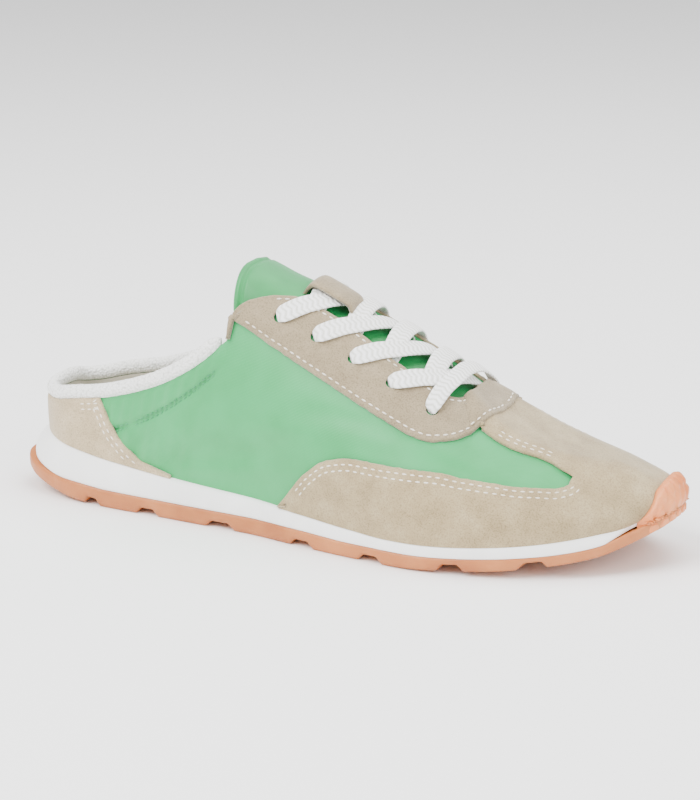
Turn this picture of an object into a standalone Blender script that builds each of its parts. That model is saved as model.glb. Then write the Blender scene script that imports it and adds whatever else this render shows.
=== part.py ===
"""A low-backed retro running shoe for the right foot, built as the maker's separate pieces.

Lengths are in metres. While the pieces are made, +X runs from heel to toe, +Y to the inner (medial)
side, +Z up, with the heel's rearmost point at X = 0 and the floor at Z = 0. An empty then carries the
whole shoe so that the middle of its floor area is the origin.

The surface of the last (the foot form) is one function of two values. "Turn" goes once round the sole,
from 0 at the heel over the outer side to pi at the toe and back on the inner side to 2 pi. "Climb" is
the length in metres over the surface, from the feather line where upper and sole meet, to the ridge.
"""
from functools import lru_cache

import bmesh
import bpy
import numpy as np
from mathutils import Matrix, Vector

MM = 0.001

# Sole
SOLE_LENGTH = 268.0 * MM
BALL_WIDTH = 91.0 * MM
HEEL_BEVEL = 9.0 * MM
TOE_SPRING = 18.0 * MM
GUM_HEIGHT = 7.0 * MM
WEDGE_HEIGHT = 13.0 * MM
EDGE_STEP = 4.0 * MM
SOLE_EDGE_ROUND = 1.2 * MM
WEDGE_SWELL = 1.0 * MM
WEDGE_WAIST = 0.7
TOE_STEP_STATION = 0.93
TOE_STEP_RUN = 0.03
HEEL_FLARE = 3.0 * MM
HEEL_FLARE_STATION = 0.07
END_ROUNDNESS = 0.7
GROOVE_DEPTH = 2.5 * MM
INSOLE_THICK = 4.0 * MM
INSOLE_BEVEL = 2.2 * MM
INSOLE_TOE_EASE = 3.0 * MM

# Toe lip, the part of the outsole that wraps up over the toe
LIP_THICK = 2.4 * MM
LIP_HEIGHT = 12.5 * MM
LIP_CENTRE_TURN = 3.20
LIP_SPAN_TURN = 0.42
LIP_ROOT = 3.0 * MM

# Last
INSTEP_HEIGHT = 92.0 * MM
RIDGE_OFFSET = 3.0 * MM
TOE_FOCUS = 180.0 * MM
HEEL_FOCUS = 62.0 * MM
FOCUS_EASE = 5.0 * MM
TOE_RUN = 21.0 * MM
TOE_RUN_SPREAD = 0.45
TOE_RUN_BLEND = 25.0 * MM
SIDE_SWELL = 1.5 * MM
SWELL_TOP = 0.75

# Upper and the pieces on it
UPPER_WALL = 2.0 * MM
SUEDE_THICK = 1.3 * MM
COLLAR_CLIMB = 62.0 * MM
THROAT_HALF = 18.0 * MM
EYESTAY_DEPTH = 42.0 * MM
WING_CLIMB = 27.0 * MM
STRAP_CLIMB = 50.0 * MM
COUNTER_CLIMB = 24.5 * MM
BINDING_RADIUS = 2.8 * MM
CORNER_STATION = 0.366
BINDING_END_STATION = 0.360

# Tongue, laces and the loop that keeps the tongue in place
TONGUE_THICK = 4.5 * MM
TONGUE_REAR = 95.5 * MM
TONGUE_FRONT = 193.0 * MM
TONGUE_HALF_REAR = 34.0 * MM
TONGUE_HALF_FRONT = 19.0 * MM
TONGUE_SETTLE = 1.0 * MM
TONGUE_TUCK = 2.2 * MM
TONGUE_TUCK_POWER = 4
LACE_WIDTH = 8.0 * MM
LACE_THICK = 1.4 * MM
EYELET_RADIUS = 2.2 * MM
EYELET_SIDES = 8
STRAND_RUN = 22.0 * MM
LACE_LAP = 1.05 * MM
LACE_DIP = 1.4 * MM
LACE_BAR_RISE = 1.7 * MM
EYELET_FIRST = 117.5 * MM
EYELET_LAST = 180.0 * MM
EYELET_ROWS = 5
EYELET_SPREAD = 27.5 * MM
EYELET_STAGGER = 4.0 * MM
KEEPER_REAR = 120.8 * MM
KEEPER_FRONT = 139.0 * MM
KEEPER_WIDTH = 8.0 * MM
KEEPER_OFFSET = -4.0 * MM
KEEPER_RISE = 3.5 * MM
KEEPER_FLATNESS = 10

# Clearances between pieces that touch
SEAT = 0.3 * MM
CURVED_SEAT = 0.45 * MM
BINDING_SEAT = 0.9 * MM
LACE_SEAT = 0.75 * MM
STRAP_GAP = 0.9 * MM

# Plan of the sole. Stations are shares of SOLE_LENGTH, the rest are shares of BALL_WIDTH.
PLAN_COLUMNS = ("station", "outer_reach", "inner_reach", "axis")
PLAN = (
    (0.00, 0.440, 0.430, 0.010),
    (0.07, 0.445, 0.430, 0.005),
    (0.17, 0.390, 0.385, 0.000),
    (0.28, 0.366, 0.335, 0.000),
    (0.40, 0.376, 0.335, 0.005),
    (0.50, 0.432, 0.385, 0.010),
    (0.60, 0.490, 0.455, 0.015),
    (0.70, 0.545, 0.530, 0.020),
    (0.79, 0.555, 0.565, 0.035),
    (0.88, 0.520, 0.555, 0.060),
    (0.95, 0.455, 0.500, 0.085),
    (1.00, 0.400, 0.440, 0.100),
)

# Side view of the sole, as shares of HEEL_BEVEL, TOE_SPRING, GUM_HEIGHT, WEDGE_HEIGHT and EDGE_STEP.
SOLE_COLUMNS = ("station", "bevel", "spring", "gum", "wedge", "inset")
SOLE = (
    (0.00, 1.00, 0.000, 0.72, 1.00, 2.40),
    (0.03, 0.61, 0.000, 0.84, 1.00, 1.60),
    (0.08, 0.24, 0.000, 1.00, 0.99, 1.15),
    (0.12, 0.10, 0.000, 1.07, 0.94, 1.05),
    (0.17, 0.00, 0.000, 1.04, 0.87, 1.00),
    (0.28, 0.00, 0.000, 0.98, 0.68, 0.85),
    (0.40, 0.00, 0.000, 0.97, 0.54, 0.75),
    (0.50, 0.00, 0.000, 0.95, 0.44, 0.60),
    (0.58, 0.00, 0.000, 0.85, 0.38, 0.50),
    (0.64, 0.00, 0.005, 0.84, 0.31, 0.45),
    (0.72, 0.00, 0.065, 0.73, 0.31, 0.45),
    (0.81, 0.00, 0.165, 0.69, 0.32, 0.55),
    (0.88, 0.00, 0.295, 0.62, 0.33, 0.75),
    (0.92, 0.00, 0.410, 0.62, 0.30, 0.90),
    (0.955, 0.00, 0.620, 0.70, 0.12, 1.00),
    (1.00, 0.00, 1.000, 0.60, 0.12, 1.00),
)

# Ridge of the last: height as a share of INSTEP_HEIGHT, and how square the cross-section's shoulder is.
RIDGE_COLUMNS = ("station", "height", "squareness")
RIDGE = (
    (0.00, 1.060, 2.20),
    (0.20, 1.180, 2.40),
    (0.30, 1.160, 3.00),
    (0.37, 1.105, 3.00),
    (0.43, 1.040, 2.70),
    (0.50, 0.955, 2.40),
    (0.60, 0.812, 2.15),
    (0.70, 0.640, 2.00),
    (0.76, 0.532, 2.00),
    (0.81, 0.464, 2.00),
    (0.87, 0.418, 2.00),
    (0.93, 0.390, 2.00),
    (0.97, 0.370, 2.00),
    (1.00, 0.342, 2.00),
)

# Edges on the upper at stations of the feather line, as shares of the named size in each comment.
COLLAR_COLUMNS = ("station", "climb")  # of COLLAR_CLIMB, up from the feather line
COLLAR = (
    (0.000, 0.210),
    (0.040, 0.240),
    (0.098, 0.316),
    (0.153, 0.393),
    (0.226, 0.521),
    (0.309, 0.735),
    (0.345, 0.870),
    (0.366, 0.960),
)
THROAT_COLUMNS = ("station", "reach")  # of THROAT_HALF, down from the ridge
THROAT = (
    (0.366, 2.00),
    (0.377, 1.70),
    (0.398, 1.40),
    (0.428, 1.06),
    (0.460, 0.88),
    (0.520, 0.86),
    (0.560, 0.92),
    (0.600, 1.00),
    (0.665, 1.00),
    (0.750, 0.89),
    (0.810, 0.72),
    (0.880, 0.60),
    (1.000, 0.52),
)
EYESTAY_COLUMNS = ("station", "reach")  # of EYESTAY_DEPTH, down from the ridge
EYESTAY = (
    (0.366, 0.885),
    (0.426, 0.925),
    (0.500, 0.975),
    (0.583, 1.000),
    (0.646, 0.990),
    (0.679, 0.970),
    (0.715, 0.905),
    (0.740, 0.857),
    (0.770, 0.790),
    (0.816, 0.700),
    (0.850, 0.640),
    (0.891, 0.600),
    (1.000, 0.570),
)
WING_COLUMNS = ("station", "climb")  # of WING_CLIMB, up from the feather line
WING = (
    (0.462, 0.04),
    (0.483, 0.31),
    (0.507, 0.60),
    (0.544, 0.88),
    (0.587, 0.985),
    (0.650, 1.000),
    (0.705, 1.000),
    (0.756, 0.935),
    (0.810, 0.867),
    (0.841, 0.810),
    (0.872, 0.770),
    (0.893, 0.735),
    (0.911, 0.760),
    (0.926, 0.870),
    (1.000, 0.950),
)
STRAP_COLUMNS = ("station", "climb")  # of STRAP_CLIMB, up from the feather line
STRAP = (
    (0.790, 1.000),
    (0.820, 0.925),
    (0.847, 0.835),
    (0.877, 0.765),
    (0.902, 0.710),
    (0.916, 0.640),
    (0.926, 0.470),
)
COUNTER_COLUMNS = ("station", "climb")  # of COUNTER_CLIMB, up from the feather line
COUNTER = (
    (0.000, 1.60),
    (0.110, 1.45),
    (0.152, 1.02),
    (0.185, 0.45),
    (0.225, 0.15),
    (0.275, 0.04),
)
STRAP_START = 0.814
WINDOW_CORNER = 0.916
WINDOW_TIP = 0.926
WING_START = 0.462
COUNTER_START = 0.275

# Grooves that part the lugs: middle and mouth as shares of SOLE_LENGTH.
GROOVE_COLUMNS = ("station", "mouth")
GROOVES = (
    (0.141, 0.028),
    (0.237, 0.040),
    (0.362, 0.052),
    (0.503, 0.042),
    (0.617, 0.041),
    (0.738, 0.040),
    (0.846, 0.040),
)
GROOVE_TAPER = 0.62

# Where each crossing's strands end: run along X from their eyelets as a share of STRAND_RUN, and place
# across the ridge as a share of THROAT_HALF.
STRAND_COLUMNS = ("outer_run", "outer_reach", "inner_run", "inner_reach")
STRANDS = (
    (1.00, 0.55, 0.45, -0.55),
    (1.00, 0.55, 0.45, -0.55),
    (1.00, 0.55, 0.45, -0.55),
    (0.80, 0.15, 0.45, -0.55),
)

# Shares of a lace strip's length at which its heights are given; the first crossing is kept low
LACE_KNOTS = (0.0, 0.28, 0.62, 1.0)
KEPT_KNOTS = (0.0, 0.37, 0.44, 1.0)

# Height of the toe lip over its span, as shares of LIP_HEIGHT.
LIP_COLUMNS = ("across", "climb")
LIP = (
    (-1.00, 0.02),
    (-0.80, 0.45),
    (-0.55, 0.86),
    (0.00, 1.00),
    (0.55, 0.86),
    (0.80, 0.45),
    (1.00, 0.02),
)

# Grid counts
HALF_COLUMNS = 42
UPPER_ROWS = 9
COLUMN_POINTS = 97
TURN_STEP = 2.0e-3
CLIMB_STEP = 0.4 * MM

FULL_TURN = 2.0 * np.pi

# Vertices nearer than this are one, and columns nearer than this share of a step give way to an edge's own
WELD = 0.02 * MM
NEAREST_COLUMN = 0.25

# Base colours are linear RGB.
FINISHES = {
    "gum_rubber": ((0.60, 0.27, 0.11), 0.55),
    "foam_white": ((0.90, 0.90, 0.89), 0.60),
    "insole_textile": ((0.62, 0.58, 0.50), 0.90),
    "green_nylon": ((0.06, 0.45, 0.18), 0.38),
    "terry_white": ((0.88, 0.88, 0.85), 0.95),
    "suede_taupe": ((0.42, 0.34, 0.25), 0.95),
    "suede_sand": ((0.55, 0.46, 0.34), 0.95),
    "suede_pale": ((0.66, 0.59, 0.47), 0.95),
    "cotton_lace": ((0.90, 0.90, 0.87), 0.90),
}


def eased(table, column, station):
    """Value of a table's column at a station, on a monotone cubic through its rows."""
    rows = np.asarray(table)
    xs, ys = rows[:, 0], rows[:, column]
    gaps = np.diff(xs)
    slopes = np.diff(ys) / gaps
    tangents = np.zeros(len(xs))
    tangents[0], tangents[-1] = slopes[0], slopes[-1]
    for i in range(1, len(xs) - 1):
        before, after = slopes[i - 1], slopes[i]
        if before * after > 0:
            first = 2 * gaps[i] + gaps[i - 1]
            second = gaps[i] + 2 * gaps[i - 1]
            tangents[i] = (first + second) / (first / before + second / after)
    x = np.clip(station, xs[0], xs[-1])
    k = np.clip(np.searchsorted(xs, x, side="right") - 1, 0, len(gaps) - 1)
    t = (x - xs[k]) / gaps[k]
    rise = t * t * (3 - 2 * t)
    lead = t * (1 - t) ** 2 * gaps[k] * tangents[k]
    tail = t * t * (t - 1) * gaps[k] * tangents[k + 1]
    return ys[k] * (1 - rise) + ys[k + 1] * rise + lead + tail


def named(table, columns, name, station):
    """Value of a named column of a table at a station."""
    return eased(table, columns.index(name), station)


def half_turn(turn):
    """Turn folded onto one side, and the side's sign: -1 outer, +1 inner."""
    wrapped = np.mod(turn, FULL_TURN)
    outer = wrapped <= np.pi
    return np.where(outer, wrapped, FULL_TURN - wrapped), np.where(outer, -1.0, 1.0)


def turn_at(station, side=-1):
    """Turn at which the sole's outline reaches a station on one side."""
    half = np.arccos(1 - 2 * np.clip(station, 0.0, 1.0))
    return half if side < 0 else FULL_TURN - half


def outline(turn):
    """Plan points of the widest outline of the sole."""
    half, side = half_turn(np.asarray(turn, dtype=float))
    station = (1 - np.cos(half)) / 2
    outer = named(PLAN, PLAN_COLUMNS, "outer_reach", station)
    inner = named(PLAN, PLAN_COLUMNS, "inner_reach", station)
    reach = np.where(side < 0, outer, inner) * BALL_WIDTH
    axis = named(PLAN, PLAN_COLUMNS, "axis", station) * BALL_WIDTH
    y = axis + side * reach * np.sin(half) ** END_ROUNDNESS
    return np.stack([SOLE_LENGTH * station, y], axis=-1)


def outline_normal(turn):
    """Outward unit normals of the outline, in plan."""
    turn = np.asarray(turn, dtype=float)
    along = outline(turn + TURN_STEP) - outline(turn - TURN_STEP)
    along /= np.linalg.norm(along, axis=-1, keepdims=True)
    return np.stack([along[..., 1], -along[..., 0]], axis=-1)


def inset_outline(turn, inset):
    """Outline moved inward by an inset."""
    return outline(turn) - np.asarray(inset)[..., None] * outline_normal(turn)


def sole_share(name, station):
    return named(SOLE, SOLE_COLUMNS, name, station)


def tread_height(station):
    """Underside of the lugs above the floor."""
    return sole_share("bevel", station) * HEEL_BEVEL + sole_share("spring", station) * TOE_SPRING


def gum_line(station):
    """Top of the outsole's side."""
    return tread_height(station) + sole_share("gum", station) * GUM_HEIGHT


def bed_height(station):
    """Top of the midsole, on which upper and insole stand."""
    return gum_line(station) + SEAT + sole_share("wedge", station) * WEDGE_HEIGHT


def feather_inset(station):
    return sole_share("inset", station) * EDGE_STEP


def feather(turn):
    """Point of the feather line, where the upper's outer face meets the sole."""
    station = outline(turn)[0] / SOLE_LENGTH
    plan = inset_outline(np.array([turn]), np.array([feather_inset(station)]))[0]
    return np.array([plan[0], plan[1], bed_height(station) + SEAT])


def between_foci(x):
    """X of the ridge point that a feather point climbs to, eased to stay between the two foci."""
    low = HEEL_FOCUS + FOCUS_EASE * np.logaddexp(0, (x - HEEL_FOCUS) / FOCUS_EASE)
    return TOE_FOCUS - FOCUS_EASE * np.logaddexp(0, (TOE_FOCUS - low) / FOCUS_EASE)


def ridge_height(station):
    return named(RIDGE, RIDGE_COLUMNS, "height", station) * INSTEP_HEIGHT


@lru_cache(maxsize=None)
def last_column(turn):
    """Points up the last at one turn, from feather line to ridge, and their climbs."""
    foot = feather(turn)
    inward = np.array([between_foci(foot[0]), RIDGE_OFFSET]) - foot[:2]
    reach = np.linalg.norm(inward)
    inward /= reach
    station = foot[0] / SOLE_LENGTH
    run = reach
    if foot[0] > TOE_FOCUS:
        past = (foot[0] - TOE_FOCUS) / (SOLE_LENGTH - TOE_FOCUS)
        toe_run = TOE_RUN + TOE_RUN_SPREAD * abs(foot[1] - RIDGE_OFFSET)
        run = min(reach, toe_run + TOE_RUN_BLEND * max(0.0, 1 - past) ** 2)
    power = 2 / named(RIDGE, RIDGE_COLUMNS, "squareness", station)
    wall = run + ridge_height(station) - foot[2]
    knee = wall / (wall + reach - run)
    share = np.linspace(0, 1, COLUMN_POINTS)
    angle = np.clip(share / knee, 0, 1) * np.pi / 2
    depth = run * (1 - np.cos(angle) ** power)
    if knee < 1:
        depth = np.where(share > knee, run + (reach - run) * (share - knee) / (1 - knee), depth)
    lift = np.sin(angle) ** power
    plan = foot[:2] + depth[:, None] * inward
    top = ridge_height(plan[:, 0] / SOLE_LENGTH)
    height = foot[2] + (top - foot[2]) * lift
    swell = SIDE_SWELL * np.sin(np.pi * np.clip(lift / SWELL_TOP, 0, 1))
    points = np.column_stack([plan - swell[:, None] * inward, height])
    climbs = np.concatenate([[0], np.cumsum(np.linalg.norm(np.diff(points, axis=0), axis=1))])
    return points, climbs


def column_at(turn):
    return last_column(round(float(np.mod(turn, FULL_TURN)), 9))


def on_column(turn, climb):
    """Point of the last at one turn and climb."""
    points, climbs = column_at(turn)
    return np.array([np.interp(climb, climbs, points[:, axis]) for axis in range(3)])


def full_climb(turn):
    return column_at(turn)[1][-1]


def last_point(turn, climb, lift=0.0):
    """Point at a height over the last's surface, along its normal."""
    point = on_column(turn, climb)
    if lift == 0.0:
        return point
    top = full_climb(turn)
    low, high = max(climb - CLIMB_STEP, 0.0), min(climb + CLIMB_STEP, top)
    along = on_column(turn + TURN_STEP, climb) - on_column(turn - TURN_STEP, climb)
    up = on_column(turn, high) - on_column(turn, low)
    normal = np.cross(along, up)
    return point + lift * normal / np.linalg.norm(normal)


def station_of(turn):
    """Station of the sole's outline at a turn."""
    return outline(turn)[0] / SOLE_LENGTH


def opening_climb(turn):
    """Climb of the edge of collar and throat."""
    station = station_of(turn)
    if station < CORNER_STATION:
        return float(named(COLLAR, COLLAR_COLUMNS, "climb", station) * COLLAR_CLIMB)
    return float(full_climb(turn) - named(THROAT, THROAT_COLUMNS, "reach", station) * THROAT_HALF)


def eyestay_climb(turn):
    """Climb of the eyestay's lower edge."""
    reach = named(EYESTAY, EYESTAY_COLUMNS, "reach", station_of(turn)) * EYESTAY_DEPTH
    return float(full_climb(turn) - reach)


def wing_climb(turn):
    return float(named(WING, WING_COLUMNS, "climb", station_of(turn)) * WING_CLIMB)


def strap_climb(turn):
    """Climb of the toe strap's lower edge, which joins the wing beyond the window's tip."""
    station = station_of(turn)
    if station >= WINDOW_TIP:
        return wing_climb(turn)
    low = named(STRAP, STRAP_COLUMNS, "climb", station) * STRAP_CLIMB
    tip = strap_tip_climb()
    joined = named(STRAP, STRAP_COLUMNS, "climb", WINDOW_TIP) * STRAP_CLIMB
    return float(low + tip - joined)


def strap_tip_climb():
    return float(named(WING, WING_COLUMNS, "climb", WINDOW_TIP) * WING_CLIMB)


def counter_climb(turn):
    slant = named(COUNTER, COUNTER_COLUMNS, "climb", station_of(turn)) * COUNTER_CLIMB
    return float(min(slant, opening_climb(turn)))


def turns_between(first, last, extra=()):
    """Turns of the upper's own columns between two turns, with both ends and extra ones."""
    step = np.pi / HALF_COLUMNS
    inner = np.arange(np.ceil(first / step), np.floor(last / step) + 1) * step
    ends = [first, last, *extra]
    far = [turn for turn in inner if min(abs(turn - end) for end in ends) > NEAREST_COLUMN * step]
    return np.array(sorted(far + ends))


def make_material(name):
    colour, roughness = FINISHES[name]
    material = bpy.data.materials.get(name) or bpy.data.materials.new(name)
    material.use_nodes = True
    shader = material.node_tree.nodes["Principled BSDF"]
    shader.inputs["Base Color"].default_value = (*colour, 1.0)
    shader.inputs["Roughness"].default_value = roughness
    shader.inputs["Metallic"].default_value = 0.0
    return material


def make_object(name, mesh, finish, collection):
    """Object of a mesh, in a collection, with its finish."""
    part = bpy.data.objects.new(name, mesh)
    if finish:
        mesh.materials.append(make_material(finish))
    collection.objects.link(part)
    return part


def make_cutter(name, bm, collection):
    """Object that only serves other pieces' booleans."""
    cutter = make_object(name, finish_mesh(bm, name), None, collection)
    cutter.hide_render = True
    cutter.display_type = "WIRE"
    return cutter


def mapped_grid(bm, columns, rows, place):
    """Add a grid whose vertices are moved to place(column, row) for whole column and row numbers."""
    made = bmesh.ops.create_grid(bm, x_segments=columns - 1, y_segments=rows - 1, size=1.0)
    for vert in made["verts"]:
        column = round((vert.co.x + 1) / 2 * (columns - 1))
        row = round((vert.co.y + 1) / 2 * (rows - 1))
        vert.co = place(column, row)
    return made["verts"]


def weld_seams(bm):
    bmesh.ops.remove_doubles(bm, verts=bm.verts, dist=WELD)
    bmesh.ops.dissolve_degenerate(bm, edges=bm.edges, dist=WELD)


def finish_mesh(bm, name):
    """Weld a bmesh's seams and write it to a mesh."""
    weld_seams(bm)
    mesh = bpy.data.meshes.new(name)
    bm.to_mesh(mesh)
    bm.free()
    mesh.shade_smooth()
    return mesh


def add_wall(part, thickness, outward):
    """Give an open surface its wall."""
    wall = part.modifiers.new("wall", "SOLIDIFY")
    wall.thickness = thickness
    wall.offset = 1.0 if outward else -1.0
    wall.use_even_offset = False


def add_boolean(part, other, operation):
    step = part.modifiers.new(operation.lower(), "BOOLEAN")
    step.operation = operation
    step.object = other
    step.solver = "EXACT"


def patch(bm, turns, low, high, rows, lift):
    """Add a patch of the last between two edges given as climbs by turn."""
    edges = [(low(turn), high(turn)) for turn in turns]

    def place(column, row):
        bottom, top = edges[column]
        climb = bottom + (top - bottom) * row / (rows - 1)
        return last_point(turns[column], climb, lift)

    mapped_grid(bm, len(turns), rows, place)


def ring_solid(bm, levels):
    """Add a closed solid of the sole's plan: side walls through the levels, laddered top and bottom.

    A level is a function from turn to a point.
    """
    columns = 2 * HALF_COLUMNS + 1
    turns = np.linspace(0, FULL_TURN, columns)
    mapped_grid(bm, columns, len(levels), lambda column, row: levels[row](turns[column]))
    for level in (levels[0], levels[-1]):
        mapped_grid(bm, HALF_COLUMNS + 1, 2,
                    lambda column, row, level=level: level(turns[column] if row else -turns[column]))
    weld_seams(bm)
    bmesh.ops.recalc_face_normals(bm, faces=bm.faces)


def sole_level(inset, height):
    """Level of the sole's plan, with inset and height as functions of station."""
    def level(turn):
        station = station_of(turn)
        plan = inset_outline(np.array([turn]), np.array([inset(station)]))[0]
        return (plan[0], plan[1], float(height(station)))
    return level


def make_groove_cutter(collection):
    """Bars across the sole that cut the grooves between its lugs."""
    bm = bmesh.new()
    for station, mouth in GROOVES:
        made = bmesh.ops.create_cube(bm, size=1.0)
        floor = float(tread_height(station))
        for vert in made["verts"]:
            roof = vert.co.z > 0
            share = GROOVE_TAPER if roof else 1.0
            vert.co.x = (station + vert.co.x * mouth * share) * SOLE_LENGTH
            vert.co.y *= 2 * BALL_WIDTH
            vert.co.z = floor + GROOVE_DEPTH if roof else -GUM_HEIGHT
    return make_cutter("groove_cutter", bm, collection)


def lip_lift():
    """Height over the last of the toe lip's inner face."""
    return 2 * CURVED_SEAT + SUEDE_THICK


def make_toe_lip(collection):
    """Toe lip that is joined to the outsole: it rises in front of the wedge and over the toe."""
    first, last = LIP_CENTRE_TURN - LIP_SPAN_TURN, LIP_CENTRE_TURN + LIP_SPAN_TURN
    turns = np.linspace(first, last, 15)
    rows, root_rows = 8, 2
    bm = bmesh.new()

    def place(column, row):
        turn = turns[column]
        across = (turn - LIP_CENTRE_TURN) / LIP_SPAN_TURN
        top = float(named(LIP, LIP_COLUMNS, "climb", across)) * LIP_HEIGHT
        foot = last_point(turn, 0.0, lip_lift())
        base = float(gum_line(station_of(turn))) - LIP_ROOT
        if row < root_rows:
            return (foot[0], foot[1], base + (foot[2] - base) * row / root_rows)
        return last_point(turn, top * (row - root_rows) / (rows - 1 - root_rows), lip_lift())

    mapped_grid(bm, len(turns), rows, place)
    lip = make_cutter("toe_lip", bm, collection)
    add_wall(lip, LIP_THICK, outward=True)
    return lip


def make_outsole(collection, cutters):
    """Gum outsole with its lugs and the lip over the toe."""
    def edge(station):
        return -HEEL_FLARE * max(0.0, 1 - station / HEEL_FLARE_STATION)

    bm = bmesh.new()
    ring_solid(bm, (
        sole_level(lambda s: edge(s) + SOLE_EDGE_ROUND, tread_height),
        sole_level(edge, lambda s: tread_height(s) + SOLE_EDGE_ROUND),
        sole_level(edge, gum_line),
    ))
    part = make_object("outsole", finish_mesh(bm, "outsole"), "gum_rubber", collection)
    add_boolean(part, make_toe_lip(cutters), "UNION")
    add_boolean(part, make_groove_cutter(cutters), "DIFFERENCE")
    return part


def wedge_inset(station):
    """Inset of the wedge's foot: it stands back behind the toe lip."""
    toe = np.clip((station - TOE_STEP_STATION) / TOE_STEP_RUN, 0, 1)
    return toe * (LIP_THICK + 3 * SEAT) + (1 - toe) * SEAT


def make_midsole(collection):
    """White foam wedge between outsole and upper."""
    def top_inset(station):
        return max(wedge_inset(station), feather_inset(station) - WEDGE_SWELL)

    def middle_inset(station):
        return WEDGE_WAIST * wedge_inset(station) + (1 - WEDGE_WAIST) * top_inset(station)

    bm = bmesh.new()
    ring_solid(bm, (
        sole_level(wedge_inset, lambda s: gum_line(s) + SEAT),
        sole_level(middle_inset, lambda s: (gum_line(s) + SEAT + bed_height(s)) / 2),
        sole_level(top_inset, bed_height),
    ))
    return make_object("midsole", finish_mesh(bm, "midsole"), "foam_white", collection)


def make_insole(collection):
    """Footbed inside the upper."""
    def inset(station):
        ease = INSOLE_TOE_EASE * sole_share("spring", station)
        return feather_inset(station) + UPPER_WALL + 2 * CURVED_SEAT + ease

    bm = bmesh.new()
    ring_solid(bm, (
        sole_level(inset, lambda s: bed_height(s) + SEAT),
        sole_level(lambda s: inset(s) + INSOLE_BEVEL, lambda s: bed_height(s) + SEAT + INSOLE_THICK),
    ))
    return make_object("insole", finish_mesh(bm, "insole"), "insole_textile", collection)


def make_upper(collection):
    """Nylon upper: one hollow wall, open at collar, throat and underneath."""
    columns = 2 * HALF_COLUMNS + 1
    turns = np.linspace(0, FULL_TURN, columns)
    bm = bmesh.new()
    patch(bm, turns, lambda turn: 0.0, opening_climb, UPPER_ROWS, 0.0)
    part = make_object("upper", finish_mesh(bm, "upper"), "green_nylon", collection)
    add_wall(part, UPPER_WALL, outward=False)
    return part


def suede_patch(name, finish, collection, pieces):
    """Suede overlay from one or more patches of the last: (turns, low edge, high edge, rows)."""
    bm = bmesh.new()
    for turns, low, high, rows in pieces:
        patch(bm, turns, low, high, rows, CURVED_SEAT)
    part = make_object(name, finish_mesh(bm, name), finish, collection)
    add_wall(part, SUEDE_THICK, outward=True)
    return part


def make_eyestay(collection):
    """One U-shaped eyestay round the throat."""
    turns = turns_between(turn_at(CORNER_STATION), turn_at(CORNER_STATION, 1))
    return suede_patch("eyestay", "suede_taupe", collection,
                       [(turns, eyestay_climb, opening_climb, 5)])


def make_toe_guard(collection):
    """Toe piece: wings along the sole and a strap up to the eyestay, with a window on each side."""
    tips = [turn_at(station, side) for station in (WINDOW_CORNER, WINDOW_TIP) for side in (-1, 1)]
    wing_turns = turns_between(turn_at(WING_START), turn_at(WING_START, 1), tips)
    start, end = turn_at(STRAP_START), turn_at(STRAP_START, 1)
    strap_turns = turns_between(start, end, tips)
    strap_turns = np.array([turn for turn in strap_turns
                            if turn in (start, end) or np.min(abs(wing_turns - turn)) < 1e-9])

    def strap_top(turn):
        return max(eyestay_climb(turn) - STRAP_GAP, strap_climb(turn) + SEAT)

    return suede_patch("toe_guard", "suede_sand", collection, [
        (wing_turns, lambda turn: 0.0, wing_climb, 4),
        (strap_turns, strap_climb, strap_top, 5),
    ])


def make_heel_counter(collection):
    """Suede counter round the heel."""
    turns = turns_between(turn_at(COUNTER_START, 1) - FULL_TURN, turn_at(COUNTER_START))
    return suede_patch("heel_counter", "suede_pale", collection,
                       [(turns, lambda turn: 0.0, counter_climb, 4)])


def tube_along(name, points, radius, finish, collection):
    """Round tube through points, with closed ends."""
    curve = bpy.data.curves.new(name, "CURVE")
    curve.dimensions = "3D"
    curve.bevel_depth = radius
    curve.bevel_resolution = 2
    curve.use_fill_caps = True
    spline = curve.splines.new("POLY")
    spline.points.add(len(points) - 1)
    for target, point in zip(spline.points, points):
        target.co = (*point, 1.0)
    part = bpy.data.objects.new(name, curve)
    curve.materials.append(make_material(finish))
    collection.objects.link(part)
    return part


def make_collar_binding(collection):
    """Padded terry roll along the collar's edge, from one eyestay corner round the heel to the other."""
    end = turn_at(BINDING_END_STATION)
    turns = turns_between(-end, end)

    def beside_edge(turn):
        edge = last_point(turn, opening_climb(turn))
        near, far = turn - TURN_STEP, turn + TURN_STEP
        along = last_point(far, opening_climb(far)) - last_point(near, opening_climb(near))
        outward = last_point(turn, opening_climb(turn), 1.0) - edge
        away = np.cross(outward, along)
        away /= np.linalg.norm(away)
        return edge + away * (BINDING_RADIUS + BINDING_SEAT) - outward * UPPER_WALL / 2

    points = [beside_edge(turn) for turn in turns]
    return tube_along("collar_binding", points, BINDING_RADIUS, "terry_white", collection)


@lru_cache(maxsize=None)
def section_over(half):
    """Points over the last from the outer feather line across the ridge to the inner one.

    The second value is each point's distance over the surface from the ridge, negative outside.
    """
    outer, outer_climbs = column_at(half)
    inner, inner_climbs = column_at(FULL_TURN - half)
    points = np.concatenate([outer, inner[-2::-1]])
    across = np.concatenate([outer_climbs - outer_climbs[-1], (inner_climbs[-1] - inner_climbs)[-2::-1]])
    return points, across


def section_point(x, across):
    """Point of the last by its distance along X and over the surface from the ridge.

    In front of the toe focus the section moves along unturned and sinks with the ridge.
    """
    base = min(x, TOE_FOCUS - FOCUS_EASE)
    half = float(turn_at(base / SOLE_LENGTH))
    points, distances = section_over(round(half, 9))
    point = np.array([np.interp(across, distances, points[:, axis]) for axis in range(3)])
    ridge = np.array([np.interp(0.0, distances, points[:, axis]) for axis in range(3)])
    point[0] += x - ridge[0]
    here, there = x / SOLE_LENGTH, ridge[0] / SOLE_LENGTH
    sink = (ridge_height(here) - bed_height(here)) / (ridge_height(there) - bed_height(there))
    point[2] = bed_height(here) + (point[2] - bed_height(there)) * sink
    return point


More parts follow.
